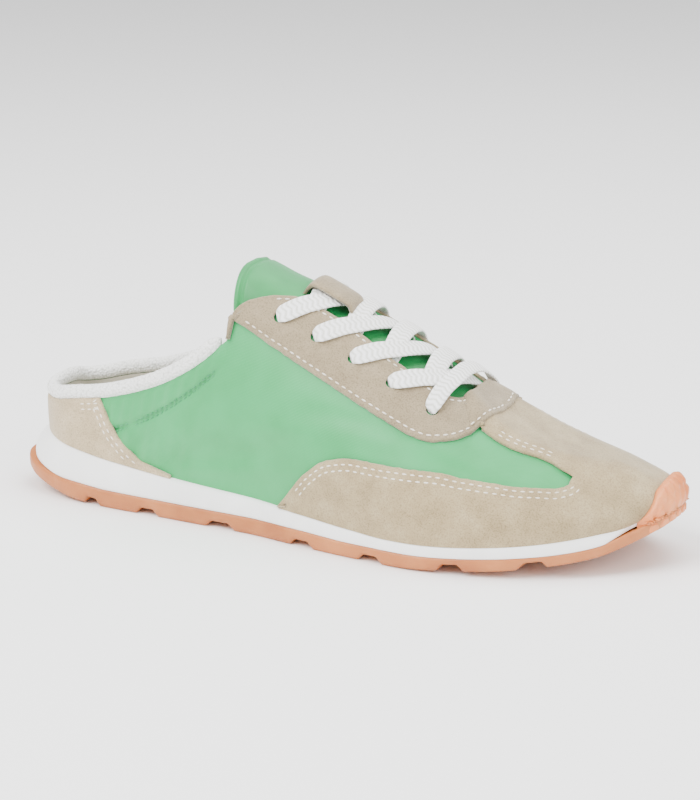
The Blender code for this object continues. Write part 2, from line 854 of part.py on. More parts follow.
def over_throat(x, across, lift):
    """Point at a height over the throat's section."""
    step = CLIMB_STEP
    forward = section_point(x + step, across) - section_point(x - step, across)
    sideways = section_point(x, across + step) - section_point(x, across - step)
    normal = np.cross(forward, sideways)
    return section_point(x, across) + lift * normal / np.linalg.norm(normal)


def tongue_top(x, across=0.0):
    """Height over the last of the tongue's outer face, which lies inside the upper's wall."""
    settle = TONGUE_SETTLE * (x - TONGUE_REAR) / (TONGUE_FRONT - TONGUE_REAR)
    tuck = TONGUE_TUCK * (across / TONGUE_HALF_REAR) ** TONGUE_TUCK_POWER
    return -UPPER_WALL - CURVED_SEAT - settle - tuck


def make_tongue(collection):
    """Padded tongue under the throat, from the toe side of the eyelets to above the collar."""
    columns, rows = 16, 13
    bm = bmesh.new()

    def place(column, row):
        share = column / (columns - 1)
        x = TONGUE_REAR + (TONGUE_FRONT - TONGUE_REAR) * share
        half_width = TONGUE_HALF_REAR + (TONGUE_HALF_FRONT - TONGUE_HALF_REAR) * share
        across = half_width * (2 * row / (rows - 1) - 1)
        return over_throat(x, across, tongue_top(x, across))

    mapped_grid(bm, columns, rows, place)
    part = make_object("tongue", finish_mesh(bm, "tongue"), "green_nylon", collection)
    add_wall(part, TONGUE_THICK, outward=False)
    return part


def make_lace_keeper(collection):
    """Suede loop on the tongue, raised in its middle so that the laces pass beneath."""
    columns, rows = 13, 4
    bm = bmesh.new()

    def place(column, row):
        share = (1 - np.cos(np.pi * column / (columns - 1))) / 2
        x = KEEPER_REAR + (KEEPER_FRONT - KEEPER_REAR) * share
        rise = KEEPER_RISE * (1 - abs(2 * share - 1) ** KEEPER_FLATNESS)
        across = KEEPER_OFFSET + KEEPER_WIDTH * (row / (rows - 1) - 0.5)
        return over_throat(x, across, tongue_top(x) + rise + CURVED_SEAT)

    mapped_grid(bm, columns, rows, place)
    part = make_object("lace_keeper", finish_mesh(bm, "lace_keeper"), "suede_taupe", collection)
    add_wall(part, SUEDE_THICK, outward=True)
    return part


def eyelet_place(row, side):
    """X and distance from the ridge of an eyelet, rows counted from the instep down."""
    pitch = (EYELET_LAST - EYELET_FIRST) / (EYELET_ROWS - 1)
    stagger = EYELET_STAGGER if side > 0 else 0.0
    return EYELET_FIRST + pitch * row + stagger, side * EYELET_SPREAD


def eyestay_top():
    """Height over the last of the suede's outer face."""
    return CURVED_SEAT + SUEDE_THICK


def make_eyelet_cutters(collection):
    """Pins that cut the eyelets through suede and upper."""
    bm = bmesh.new()
    length = 4 * (UPPER_WALL + SUEDE_THICK)
    for row in range(EYELET_ROWS):
        for side in (-1, 1):
            x, across = eyelet_place(row, side)
            centre = over_throat(x, across, 0.0)
            axis = Vector(over_throat(x, across, 1.0 * MM) - centre).normalized()
            turn = axis.to_track_quat("Z", "Y").to_matrix().to_4x4()
            bmesh.ops.create_cone(bm, cap_ends=True, segments=EYELET_SIDES, radius1=EYELET_RADIUS,
                                  radius2=EYELET_RADIUS, depth=length,
                                  matrix=Matrix.Translation(centre) @ turn)
    return make_cutter("eyelet_cutter", bm, collection)


def lace_rest():
    """Height over the last of a lace that lies on the eyestay."""
    return eyestay_top() + LACE_SEAT


def lace_strip(start, end, knots, heights):
    """Bmesh of a flat strip of lace between two places (x, distance from the ridge).

    Heights over the last are those of its underside at the knots, which are shares of its length.
    """
    columns, rows = 14, 3
    start, end = np.array(start), np.array(end)
    along = (end - start) / np.linalg.norm(end - start)
    sideways = np.array([-along[1], along[0]]) * LACE_WIDTH
    profile = tuple(zip(knots, heights))
    bm = bmesh.new()

    def place(column, row):
        share = column / (columns - 1)
        x, across = start + (end - start) * share + sideways * (row / (rows - 1) - 0.5)
        return over_throat(x, across, float(eased(profile, 1, share)))

    mapped_grid(bm, columns, rows, place)
    bmesh.ops.recalc_face_normals(bm, faces=bm.faces)
    if sum(face.normal.z for face in bm.faces) < 0:
        bmesh.ops.reverse_faces(bm, faces=bm.faces)
    return bm


def make_lace_crossing(row, collection, cutters):
    """One crossing: the outer side's strip runs below the inner side's, each ending inside the throat."""
    rest = lace_rest()
    outer, inner = eyelet_place(row, -1), eyelet_place(row, 1)
    if row == 0:
        knots, low = KEPT_KNOTS, tongue_top(outer[0]) + CURVED_SEAT
        tail = low
    else:
        knots, low, tail = LACE_KNOTS, rest - LACE_DIP, -LACE_DIP
    outer_run, outer_reach, inner_run, inner_reach = STRANDS[row]
    name = f"lace_cross_{row + 1}"
    end = (outer[0] + outer_run * STRAND_RUN, outer_reach * THROAT_HALF)
    below = lace_strip(outer, end, knots, (rest, rest, low, tail))
    part = make_object(name, finish_mesh(below, name), "cotton_lace", collection)
    end = (inner[0] + inner_run * STRAND_RUN, inner_reach * THROAT_HALF)
    above = lace_strip(inner, end, knots, (rest, rest, low + LACE_LAP, tail))
    over = make_cutter(f"{name}_over", above, cutters)
    for strip in (part, over):
        add_wall(strip, LACE_THICK, outward=True)
    add_boolean(part, over, "UNION")


def make_lace_bar(collection):
    """Straight bar of lace over the last pair of eyelets."""
    row = EYELET_ROWS - 1
    middle = lace_rest() + LACE_BAR_RISE
    bm = lace_strip(eyelet_place(row, -1), eyelet_place(row, 1), LACE_KNOTS,
                    (lace_rest(), middle, middle, lace_rest()))
    part = make_object("lace_bar", finish_mesh(bm, "lace_bar"), "cotton_lace", collection)
    add_wall(part, LACE_THICK, outward=True)


def centre_on_floor(collections):
    """Carry everything on an empty so that the origin is the middle of the shoe's floor area."""
    bpy.context.view_layer.update()
    depsgraph = bpy.context.evaluated_depsgraph_get()
    low, high = np.full(3, np.inf), np.full(3, -np.inf)
    for thing in collections[0].objects:
        shape = thing.evaluated_get(depsgraph)
        places = np.array([vert.co for vert in shape.to_mesh().vertices])
        shape.to_mesh_clear()
        low, high = np.minimum(low, places.min(axis=0)), np.maximum(high, places.max(axis=0))
    carrier = bpy.data.objects.new("shoe_origin", None)
    collections[0].objects.link(carrier)
    for collection in collections:
        for thing in collection.objects:
            if thing is not carrier:
                thing.parent = carrier
    carrier.location = (-(low[0] + high[0]) / 2, -(low[1] + high[1]) / 2, -low[2])


def main():
    for thing in list(bpy.data.objects):
        bpy.data.objects.remove(thing, do_unlink=True)
    shoe = bpy.data.collections.new("running_shoe")
    cutters = bpy.data.collections.new("cutters")
    for collection in (shoe, cutters):
        bpy.context.scene.collection.children.link(collection)
    make_outsole(shoe, cutters)
    make_midsole(shoe)
    make_insole(shoe)
    upper = make_upper(shoe)
    make_collar_binding(shoe)
    eyestay = make_eyestay(shoe)
    eyelets = make_eyelet_cutters(cutters)
    for part in (upper, eyestay):
        add_boolean(part, eyelets, "DIFFERENCE")
    make_toe_guard(shoe)
    make_heel_counter(shoe)
    make_tongue(shoe)
    make_lace_keeper(shoe)
    for row in range(EYELET_ROWS - 1):
        make_lace_crossing(row, shoe, cutters)
    make_lace_bar(shoe)
    centre_on_floor((shoe, cutters))


main()
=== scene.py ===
"""Looks of a low-backed retro running shoe for the right foot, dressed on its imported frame.

Lengths are in metres. Meshes are worked out in the shoe's own axes (+X from heel to toe, +Y to the inner
side, heel at X = 0) and then moved onto the frame. The last (the foot form) is one function of "turn", which
goes round the sole from the heel over the outer side, and "climb", the way up over the surface.
"""
import logging
import math
from dataclasses import dataclass, field
from enum import Enum
from typing import Callable, Sequence

import bmesh
import bpy
import numpy as np
from mathutils import Matrix, Vector


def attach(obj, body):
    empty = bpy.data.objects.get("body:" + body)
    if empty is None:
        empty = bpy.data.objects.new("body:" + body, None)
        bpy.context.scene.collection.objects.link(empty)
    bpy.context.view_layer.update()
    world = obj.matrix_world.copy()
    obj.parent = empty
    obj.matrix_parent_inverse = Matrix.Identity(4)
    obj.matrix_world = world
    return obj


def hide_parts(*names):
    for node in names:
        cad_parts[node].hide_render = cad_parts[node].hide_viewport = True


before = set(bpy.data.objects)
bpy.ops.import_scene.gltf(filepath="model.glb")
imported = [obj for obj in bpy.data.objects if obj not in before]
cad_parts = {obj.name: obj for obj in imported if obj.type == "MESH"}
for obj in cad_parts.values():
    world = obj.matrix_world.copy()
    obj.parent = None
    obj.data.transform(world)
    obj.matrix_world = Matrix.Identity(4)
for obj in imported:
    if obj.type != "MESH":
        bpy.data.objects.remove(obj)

LOG = logging.getLogger("shoe")
MM = 0.001
FULL_TURN = 2 * math.pi
WELD = 0.01 * MM
Edge = Callable[[float], float]

# Sole
SOLE_LENGTH = 268.0 * MM
BALL_WIDTH = 91.0 * MM
HEEL_BEVEL = 9.0 * MM
TOE_SPRING = 18.0 * MM
GUM_HEIGHT = 7.0 * MM
WEDGE_HEIGHT = 13.0 * MM
EDGE_STEP = 4.0 * MM
HEEL_FLARE = 3.0 * MM
HEEL_FLARE_STATION = 0.07
GROOVE_DEPTH = 2.5 * MM
GROOVE_TAPER = 0.62
INSOLE_THICK = 4.0 * MM
SEAT = 0.3 * MM

# Upper and what is on it
INSTEP_HEIGHT = 92.0 * MM
COLLAR_CLIMB = 62.0 * MM
THROAT_HALF = 18.0 * MM
EYESTAY_DEPTH = 42.0 * MM
WING_CLIMB = 27.0 * MM
STRAP_CLIMB = 50.0 * MM
COUNTER_CLIMB = 24.5 * MM
CORNER_STATION = 0.366
BINDING_END_STATION = 0.360
STRAP_START = 0.814
WINDOW_TIP = 0.926
WING_START = 0.462
COUNTER_START = 0.275
STRAP_GAP = 0.5 * MM
NYLON_THICK = 1.5 * MM
SUEDE_THICK = 1.3 * MM
SUEDE_SEAT = 0.35 * MM
SUEDE_TOP = SUEDE_SEAT + SUEDE_THICK

# Laces
EYELET_FIRST = 117.5 * MM
EYELET_LAST = 180.0 * MM
EYELET_ROWS = 5
EYELET_SPREAD = 27.5 * MM
EYELET_STAGGER = 4.0 * MM
EYELET_RADIUS = 2.3 * MM
LACE_WIDTH = 8.0 * MM
LACE_THICK = 1.3 * MM

# Camera
CAMERA_AZIMUTH = 25.02
CAMERA_ELEVATION = 15.0
CAMERA_ROLL = 0.57
CAMERA_DISTANCE = 0.97112
CAMERA_LENS = 113.06
CAMERA_TARGET = (0.13498, 0.00489, 0.04724)


class Side(Enum):
    """Sides of the shoe: the sign of Y."""

    OUTER = -1
    INNER = 1


@dataclass(frozen=True)
class Table:
    """Short table whose first column is a station or share, read on a monotone cubic.

    Args:
        columns: names of the columns.
        rows: numbers, a tuple for each row.
    """

    columns: tuple[str, ...]
    rows: tuple[tuple[float, ...], ...]
    known: dict = field(default_factory=dict, compare=False, repr=False)

    def fitted(self, name: str) -> tuple[np.ndarray, np.ndarray, np.ndarray, np.ndarray]:
        """Places, values, gaps and tangents of a named column, worked out once."""
        if name in self.known:
            return self.known[name]
        rows = np.asarray(self.rows)
        xs, ys = rows[:, 0], rows[:, self.columns.index(name)]
        gaps = np.diff(xs)
        slopes = np.diff(ys) / gaps
        tangents = np.zeros(len(xs))
        tangents[0], tangents[-1] = slopes[0], slopes[-1]
        before, after = slopes[:-1], slopes[1:]
        same = before * after > 0
        first, second = 2 * gaps[1:] + gaps[:-1], gaps[1:] + 2 * gaps[:-1]
        safe_before, safe_after = np.where(same, before, 1.0), np.where(same, after, 1.0)
        inner = (first + second) / (first / safe_before + second / safe_after)
        tangents[1:-1] = np.where(same, inner, 0.0)
        self.known[name] = (xs, ys, gaps, tangents)
        return self.known[name]

    def at(self, name: str, station: float | np.ndarray) -> float | np.ndarray:
        """Value of a named column.

        Args:
            name: column to read.
            station: place or places in the first column.

        Returns:
            The eased value at each place.
        """
        xs, ys, gaps, tangents = self.fitted(name)
        x = np.clip(station, xs[0], xs[-1])
        k = np.clip(np.searchsorted(xs, x, side="right") - 1, 0, len(gaps) - 1)
        t = (x - xs[k]) / gaps[k]
        rise = t * t * (3 - 2 * t)
        lead = t * (1 - t) ** 2 * gaps[k] * tangents[k]
        tail = t * t * (t - 1) * gaps[k] * tangents[k + 1]
        return ys[k] * (1 - rise) + ys[k + 1] * rise + lead + tail


# Plan of the sole, as shares of BALL_WIDTH
PLAN = Table(("station", "outer_reach", "inner_reach", "axis"), (
    (0.00, 0.440, 0.430, 0.010), (0.07, 0.445, 0.430, 0.005), (0.17, 0.390, 0.385, 0.000),
    (0.28, 0.366, 0.335, 0.000), (0.40, 0.376, 0.335, 0.005), (0.50, 0.432, 0.385, 0.010),
    (0.60, 0.490, 0.455, 0.015), (0.70, 0.545, 0.530, 0.020), (0.79, 0.555, 0.565, 0.035),
    (0.88, 0.520, 0.555, 0.060), (0.95, 0.455, 0.500, 0.085), (1.00, 0.400, 0.440, 0.100),
))
# Side view of the sole, as shares of HEEL_BEVEL, TOE_SPRING, GUM_HEIGHT, WEDGE_HEIGHT and EDGE_STEP
SOLE = Table(("station", "bevel", "spring", "gum", "wedge", "inset"), (
    (0.00, 1.00, 0.000, 0.72, 1.00, 2.40), (0.03, 0.61, 0.000, 0.84, 1.00, 1.60),
    (0.08, 0.24, 0.000, 1.00, 0.99, 1.15), (0.12, 0.10, 0.000, 1.07, 0.94, 1.05),
    (0.17, 0.00, 0.000, 1.04, 0.87, 1.00), (0.28, 0.00, 0.000, 0.98, 0.68, 0.85),
    (0.40, 0.00, 0.000, 0.97, 0.54, 0.75), (0.50, 0.00, 0.000, 0.95, 0.44, 0.60),
    (0.58, 0.00, 0.000, 0.85, 0.38, 0.50), (0.64, 0.00, 0.005, 0.84, 0.31, 0.45),
    (0.72, 0.00, 0.065, 0.73, 0.31, 0.45), (0.81, 0.00, 0.165, 0.69, 0.32, 0.55),
    (0.88, 0.00, 0.295, 0.62, 0.33, 0.75), (0.92, 0.00, 0.410, 0.62, 0.30, 0.90),
    (0.955, 0.00, 0.620, 0.70, 0.12, 1.00), (1.00, 0.00, 1.000, 0.60, 0.12, 1.00),
))
# Ridge height as a share of INSTEP_HEIGHT, and how square the section's shoulder is
RIDGE = Table(("station", "height", "squareness"), (
    (0.00, 1.060, 2.20), (0.20, 1.180, 2.40), (0.30, 1.160, 3.00), (0.37, 1.105, 3.00),
    (0.43, 1.040, 2.70), (0.50, 0.955, 2.40), (0.60, 0.812, 2.15), (0.70, 0.640, 2.00),
    (0.76, 0.532, 2.00), (0.81, 0.464, 2.00), (0.87, 0.418, 2.00), (0.93, 0.390, 2.00),
    (0.97, 0.370, 2.00), (1.00, 0.342, 2.00),
))
# Edges on the upper, as shares of COLLAR_CLIMB, THROAT_HALF, EYESTAY_DEPTH, WING_CLIMB, STRAP_CLIMB
# and COUNTER_CLIMB
COLLAR = Table(("station", "climb"), (
    (0.000, 0.210), (0.040, 0.240), (0.098, 0.316), (0.153, 0.393),
    (0.226, 0.521), (0.309, 0.735), (0.345, 0.870), (0.366, 0.960),
))
THROAT = Table(("station", "reach"), (
    (0.366, 2.00), (0.377, 1.70), (0.398, 1.40), (0.428, 1.06), (0.460, 0.88), (0.520, 0.86),
    (0.560, 0.92), (0.600, 1.00), (0.665, 1.00), (0.750, 0.89), (0.810, 0.72), (0.880, 0.60),
    (1.000, 0.52),
))
EYESTAY = Table(("station", "reach"), (
    (0.366, 0.885), (0.426, 0.925), (0.500, 0.975), (0.583, 1.000), (0.646, 0.990), (0.679, 0.970),
    (0.715, 0.905), (0.740, 0.857), (0.770, 0.790), (0.816, 0.700), (0.850, 0.640), (0.891, 0.600),
    (1.000, 0.570),
))
WING = Table(("station", "climb"), (
    (0.462, 0.04), (0.483, 0.31), (0.507, 0.60), (0.544, 0.88), (0.587, 0.985), (0.650, 1.000),
    (0.705, 1.000), (0.756, 0.935), (0.810, 0.867), (0.841, 0.810), (0.872, 0.770), (0.893, 0.735),
    (0.911, 0.760), (0.926, 0.870), (1.000, 0.950),
))
STRAP = Table(("station", "climb"), (
    (0.790, 1.000), (0.820, 0.925), (0.847, 0.835), (0.877, 0.765), (0.902, 0.710), (0.916, 0.640),
    (0.926, 0.470),
))
COUNTER = Table(("station", "climb"), (
    (0.000, 1.60), (0.110, 1.45), (0.152, 1.02), (0.185, 0.45), (0.225, 0.15), (0.275, 0.04),
))
# Lug grooves: middle and mouth as shares of SOLE_LENGTH
GROOVES = (
    (0.141, 0.028), (0.237, 0.040), (0.362, 0.052), (0.503, 0.042), (0.617, 0.041), (0.738, 0.040),
    (0.846, 0.040),
)


@dataclass
class Last:
    """The foot form under the upper."""

    end_roundness: float = 0.7
    ridge_offset: float = 3.0 * MM
    toe_focus: float = 180.0 * MM
    heel_focus: float = 62.0 * MM
    focus_ease: float = 5.0 * MM
    toe_run: float = 21.0 * MM
    toe_run_spread: float = 0.45
    toe_run_blend: float = 25.0 * MM
    side_swell: float = 1.5 * MM
    swell_top: float = 0.75
    samples: int = 97
    turn_step: float = 2.0e-3
    climb_step: float = 0.4 * MM
    columns: dict = field(default_factory=dict)
    sections: dict = field(default_factory=dict)

    @staticmethod
    def turn_at(station: float, side: Side = Side.OUTER) -> float:
        """Turn at which the outline reaches a station on one side."""
        half = math.acos(1 - 2 * min(max(station, 0.0), 1.0))
        return half if side is Side.OUTER else FULL_TURN - half

    def outline(self, turn: float | np.ndarray) -> np.ndarray:
        """Plan points of the sole's widest outline at turns."""
        wrapped = np.mod(turn, FULL_TURN)
        outer = wrapped <= np.pi
        half, side = np.where(outer, wrapped, FULL_TURN - wrapped), np.where(outer, -1.0, 1.0)
        station = (1 - np.cos(half)) / 2
        reach = np.where(side < 0, PLAN.at("outer_reach", station), PLAN.at("inner_reach", station))
        y = PLAN.at("axis", station) + side * reach * np.sin(half) ** self.end_roundness
        return np.stack([SOLE_LENGTH * station, y * BALL_WIDTH], axis=-1)

    def inset_outline(self, turn: float | np.ndarray, inset: float | np.ndarray) -> np.ndarray:
        """Outline moved inward by an inset."""
        along = self.outline(turn + self.turn_step) - self.outline(turn - self.turn_step)
        along = along / np.linalg.norm(along, axis=-1, keepdims=True)
        outward = np.stack([along[..., 1], -along[..., 0]], axis=-1)
        return self.outline(turn) - np.asarray(inset)[..., None] * outward

    def station_of(self, turn: float) -> float:
        """Station of the outline at a turn."""
        return float(self.outline(turn)[0] / SOLE_LENGTH)

    @staticmethod
    def tread_height(station: float | np.ndarray) -> float | np.ndarray:
        """Underside of the lugs above the floor."""
        return SOLE.at("bevel", station) * HEEL_BEVEL + SOLE.at("spring", station) * TOE_SPRING

    def gum_line(self, station: float | np.ndarray) -> float | np.ndarray:
        """Top of the outsole's side."""
        return self.tread_height(station) + SOLE.at("gum", station) * GUM_HEIGHT

    def bed_height(self, station: float | np.ndarray) -> float | np.ndarray:
        """Top of the foam wedge."""
        return self.gum_line(station) + SEAT + SOLE.at("wedge", station) * WEDGE_HEIGHT

    def ridge_height(self, station: float | np.ndarray) -> float | np.ndarray:
        """Height of the last's ridge over the floor."""
        return RIDGE.at("height", station) * INSTEP_HEIGHT

    def between_foci(self, x: float) -> float:
        """X of the ridge point that a feather point climbs to."""
        low = self.heel_focus + self.focus_ease * np.logaddexp(0, (x - self.heel_focus) / self.focus_ease)
        return self.toe_focus - self.focus_ease * np.logaddexp(0, (self.toe_focus - low) / self.focus_ease)

    def column(self, turn: float) -> tuple[np.ndarray, np.ndarray]:
        """Points up the last at one turn, and their climbs."""
        key = round(float(turn) % FULL_TURN, 9)
        if key in self.columns:
            return self.columns[key]
        station = float(self.outline(key)[0]) / SOLE_LENGTH
        foot = self.inset_outline(key, SOLE.at("inset", station) * EDGE_STEP)
        ground = float(self.bed_height(station)) + SEAT
        inward = np.array([self.between_foci(foot[0]), self.ridge_offset]) - foot
        reach = float(np.linalg.norm(inward))
        inward /= reach
        station = foot[0] / SOLE_LENGTH
        run = reach
        if foot[0] > self.toe_focus:
            past = (foot[0] - self.toe_focus) / (SOLE_LENGTH - self.toe_focus)
            toe_run = self.toe_run + self.toe_run_spread * abs(foot[1] - self.ridge_offset)
            run = min(reach, toe_run + self.toe_run_blend * max(0.0, 1 - past) ** 2)
        power = 2 / RIDGE.at("squareness", station)
        wall = run + self.ridge_height(station) - ground
        knee = wall / (wall + reach - run)
        share = np.linspace(0, 1, self.samples)
        angle = np.clip(share / knee, 0, 1) * np.pi / 2
        depth = run * (1 - np.cos(angle) ** power)
        if knee < 1:
            depth = np.where(share > knee, run + (reach - run) * (share - knee) / (1 - knee), depth)
        lift = np.sin(angle) ** power
        plan = foot + depth[:, None] * inward
        height = ground + (self.ridge_height(plan[:, 0] / SOLE_LENGTH) - ground) * lift
        swell = self.side_swell * np.sin(np.pi * np.clip(lift / self.swell_top, 0, 1))
        points = np.column_stack([plan - swell[:, None] * inward, height])
        climbs = np.concatenate([[0], np.cumsum(np.linalg.norm(np.diff(points, axis=0), axis=1))])
        self.columns[key] = (points, climbs)
        return self.columns[key]

    def full_climb(self, turn: float) -> float:
        """Climb of the ridge."""
        return float(self.column(turn)[1][-1])

    def on_column(self, turn: float, climbs: np.ndarray) -> np.ndarray:
        """Points of the last at one turn and several climbs."""
        points, known = self.column(turn)
        return np.stack([np.interp(climbs, known, points[:, axis]) for axis in range(3)], axis=-1)

    def tangents(self, turn: float, climbs: np.ndarray) -> tuple[np.ndarray, np.ndarray]:
        """Steps of the surface for a unit of turn and for a metre of climb."""
        top = self.full_climb(turn)
        middle = np.clip(climbs, self.climb_step, top - self.climb_step)
        low, high = middle - self.climb_step, middle + self.climb_step
        ahead, behind = turn + self.turn_step, turn - self.turn_step
        along = (self.on_column(ahead, climbs) - self.on_column(behind, climbs)) / (2 * self.turn_step)
        up = self.on_column(turn, high) - self.on_column(turn, low)
        return along, up / (high - low)[:, None]

    def points(self, turn: float, climbs: np.ndarray, lifts: np.ndarray | float = 0.0) -> np.ndarray:
        """Points at heights over the surface at one turn.

        Args:
            turn: way round the sole.
            climbs: ways up over the surface.
            lifts: heights over it along its normal.

        Returns:
            An array with a row of x, y, z for each climb.
        """
        climbs = np.asarray(climbs, dtype=float)
        along, up = self.tangents(turn, climbs)
        normal = np.cross(along, up)
        normal /= np.linalg.norm(normal, axis=-1, keepdims=True)
        lifts = np.broadcast_to(np.asarray(lifts, dtype=float), climbs.shape)
        return self.on_column(turn, climbs) + lifts[:, None] * normal

    def point(self, turn: float, climb: float, lift: float = 0.0) -> np.ndarray:
        """One point at a height over the surface."""
        return self.points(turn, np.array([climb]), lift)[0]

    def section(self, x: float) -> tuple[np.ndarray, np.ndarray, float]:
        """Points across the throat at a place along X, and their distances from the ridge."""
        key = round(min(x, self.toe_focus - self.focus_ease), 7)
        if key not in self.sections:
            half = self.turn_at(key / SOLE_LENGTH)
            outer, outer_climbs = self.column(half)
            inner, inner_climbs = self.column(FULL_TURN - half)
            points = np.concatenate([outer, inner[-2::-1]])
            tail = (inner_climbs[-1] - inner_climbs)[-2::-1]
            across = np.concatenate([outer_climbs - outer_climbs[-1], tail])
            self.sections[key] = (points, across, float(outer[-1][0]))
        return self.sections[key]

    def on_section(self, x: float, across: float) -> np.ndarray:
        """Point of the last by its distance along X and over the surface from the ridge."""
        points, distances, ridge_x = self.section(x)
        point = np.array([np.interp(across, distances, points[:, axis]) for axis in range(3)])
        here, there = x / SOLE_LENGTH, ridge_x / SOLE_LENGTH
        bed_here, bed_there = self.bed_height(here), self.bed_height(there)
        sink = (self.ridge_height(here) - bed_here) / (self.ridge_height(there) - bed_there)
        point[0] += x - ridge_x
        point[2] = bed_here + (point[2] - bed_there) * sink
        return point

    def over_throat(self, x: float, across: float, lift: float) -> tuple[np.ndarray, np.ndarray]:
        """Point at a height over the throat's section, and the surface's normal there."""
        step = 2 * self.climb_step
        forward = self.on_section(x + step, across) - self.on_section(x - step, across)
        sideways = self.on_section(x, across + step) - self.on_section(x, across - step)
        normal = np.cross(forward, sideways)
        normal /= np.linalg.norm(normal)
        return self.on_section(x, across) + lift * normal, normal

    def opening_climb(self, turn: float) -> float:
        """Climb of the edge of collar and throat."""
        station = self.station_of(turn)
        if station < CORNER_STATION:
            return float(COLLAR.at("climb", station)) * COLLAR_CLIMB
        return self.full_climb(turn) - float(THROAT.at("reach", station)) * THROAT_HALF

    def eyestay_climb(self, turn: float) -> float:
        """Climb of the eyestay's lower edge."""
        return self.full_climb(turn) - float(EYESTAY.at("reach", self.station_of(turn))) * EYESTAY_DEPTH

    def wing_climb(self, turn: float) -> float:
        """Climb of the wing's upper edge."""
        return float(WING.at("climb", self.station_of(turn))) * WING_CLIMB

    def strap_climb(self, turn: float) -> float:
        """Climb of the toe strap's lower edge."""
        station = self.station_of(turn)
        if station >= WINDOW_TIP:
            return self.wing_climb(turn)
        return float(STRAP.at("climb", station)) * STRAP_CLIMB

    def counter_climb(self, turn: float) -> float:
        """Climb of the heel counter's upper edge."""
        slant = float(COUNTER.at("climb", self.station_of(turn))) * COUNTER_CLIMB
        return min(slant, self.opening_climb(turn))

    def eyelet_place(self, row: int, side: Side) -> tuple[float, float]:
        """X and distance from the ridge of an eyelet, rows counted from the instep down."""
        pitch = (EYELET_LAST - EYELET_FIRST) / (EYELET_ROWS - 1)
        stagger = EYELET_STAGGER if side is Side.INNER else 0.0
        return EYELET_FIRST + pitch * row + stagger, side.value * EYELET_SPREAD


LAST = Last()


def linear(hex_colour: str) -> tuple[float, float, float, float]:
    """Linear colour of an sRGB hex value such as #c0a080."""
    channels = [int(hex_colour[i:i + 2], 16) / 255 for i in (1, 3, 5)]
    curve = [c / 12.92 if c <= 0.04045 else ((c + 0.055) / 1.055) ** 2.4 for c in channels]
    return (*curve, 1.0)


def add_node(tree: bpy.types.NodeTree, kind: str, links: dict | None = None, **settings: object) -> bpy.types.Node:
    """Add a shader node.

    Args:
        tree: node tree.
        kind: node type.
        links: input name or number to a value or to an output socket.
        settings: attributes of the node.

    Returns:
        The new node.
    """
    node = tree.nodes.new(kind)
    for name, value in settings.items():
        setattr(node, name, value)
    for key, value in (links or {}).items():
        if isinstance(value, bpy.types.NodeSocket):
            tree.links.new(value, node.inputs[key])
        else:
            node.inputs[key].default_value = value
    return node


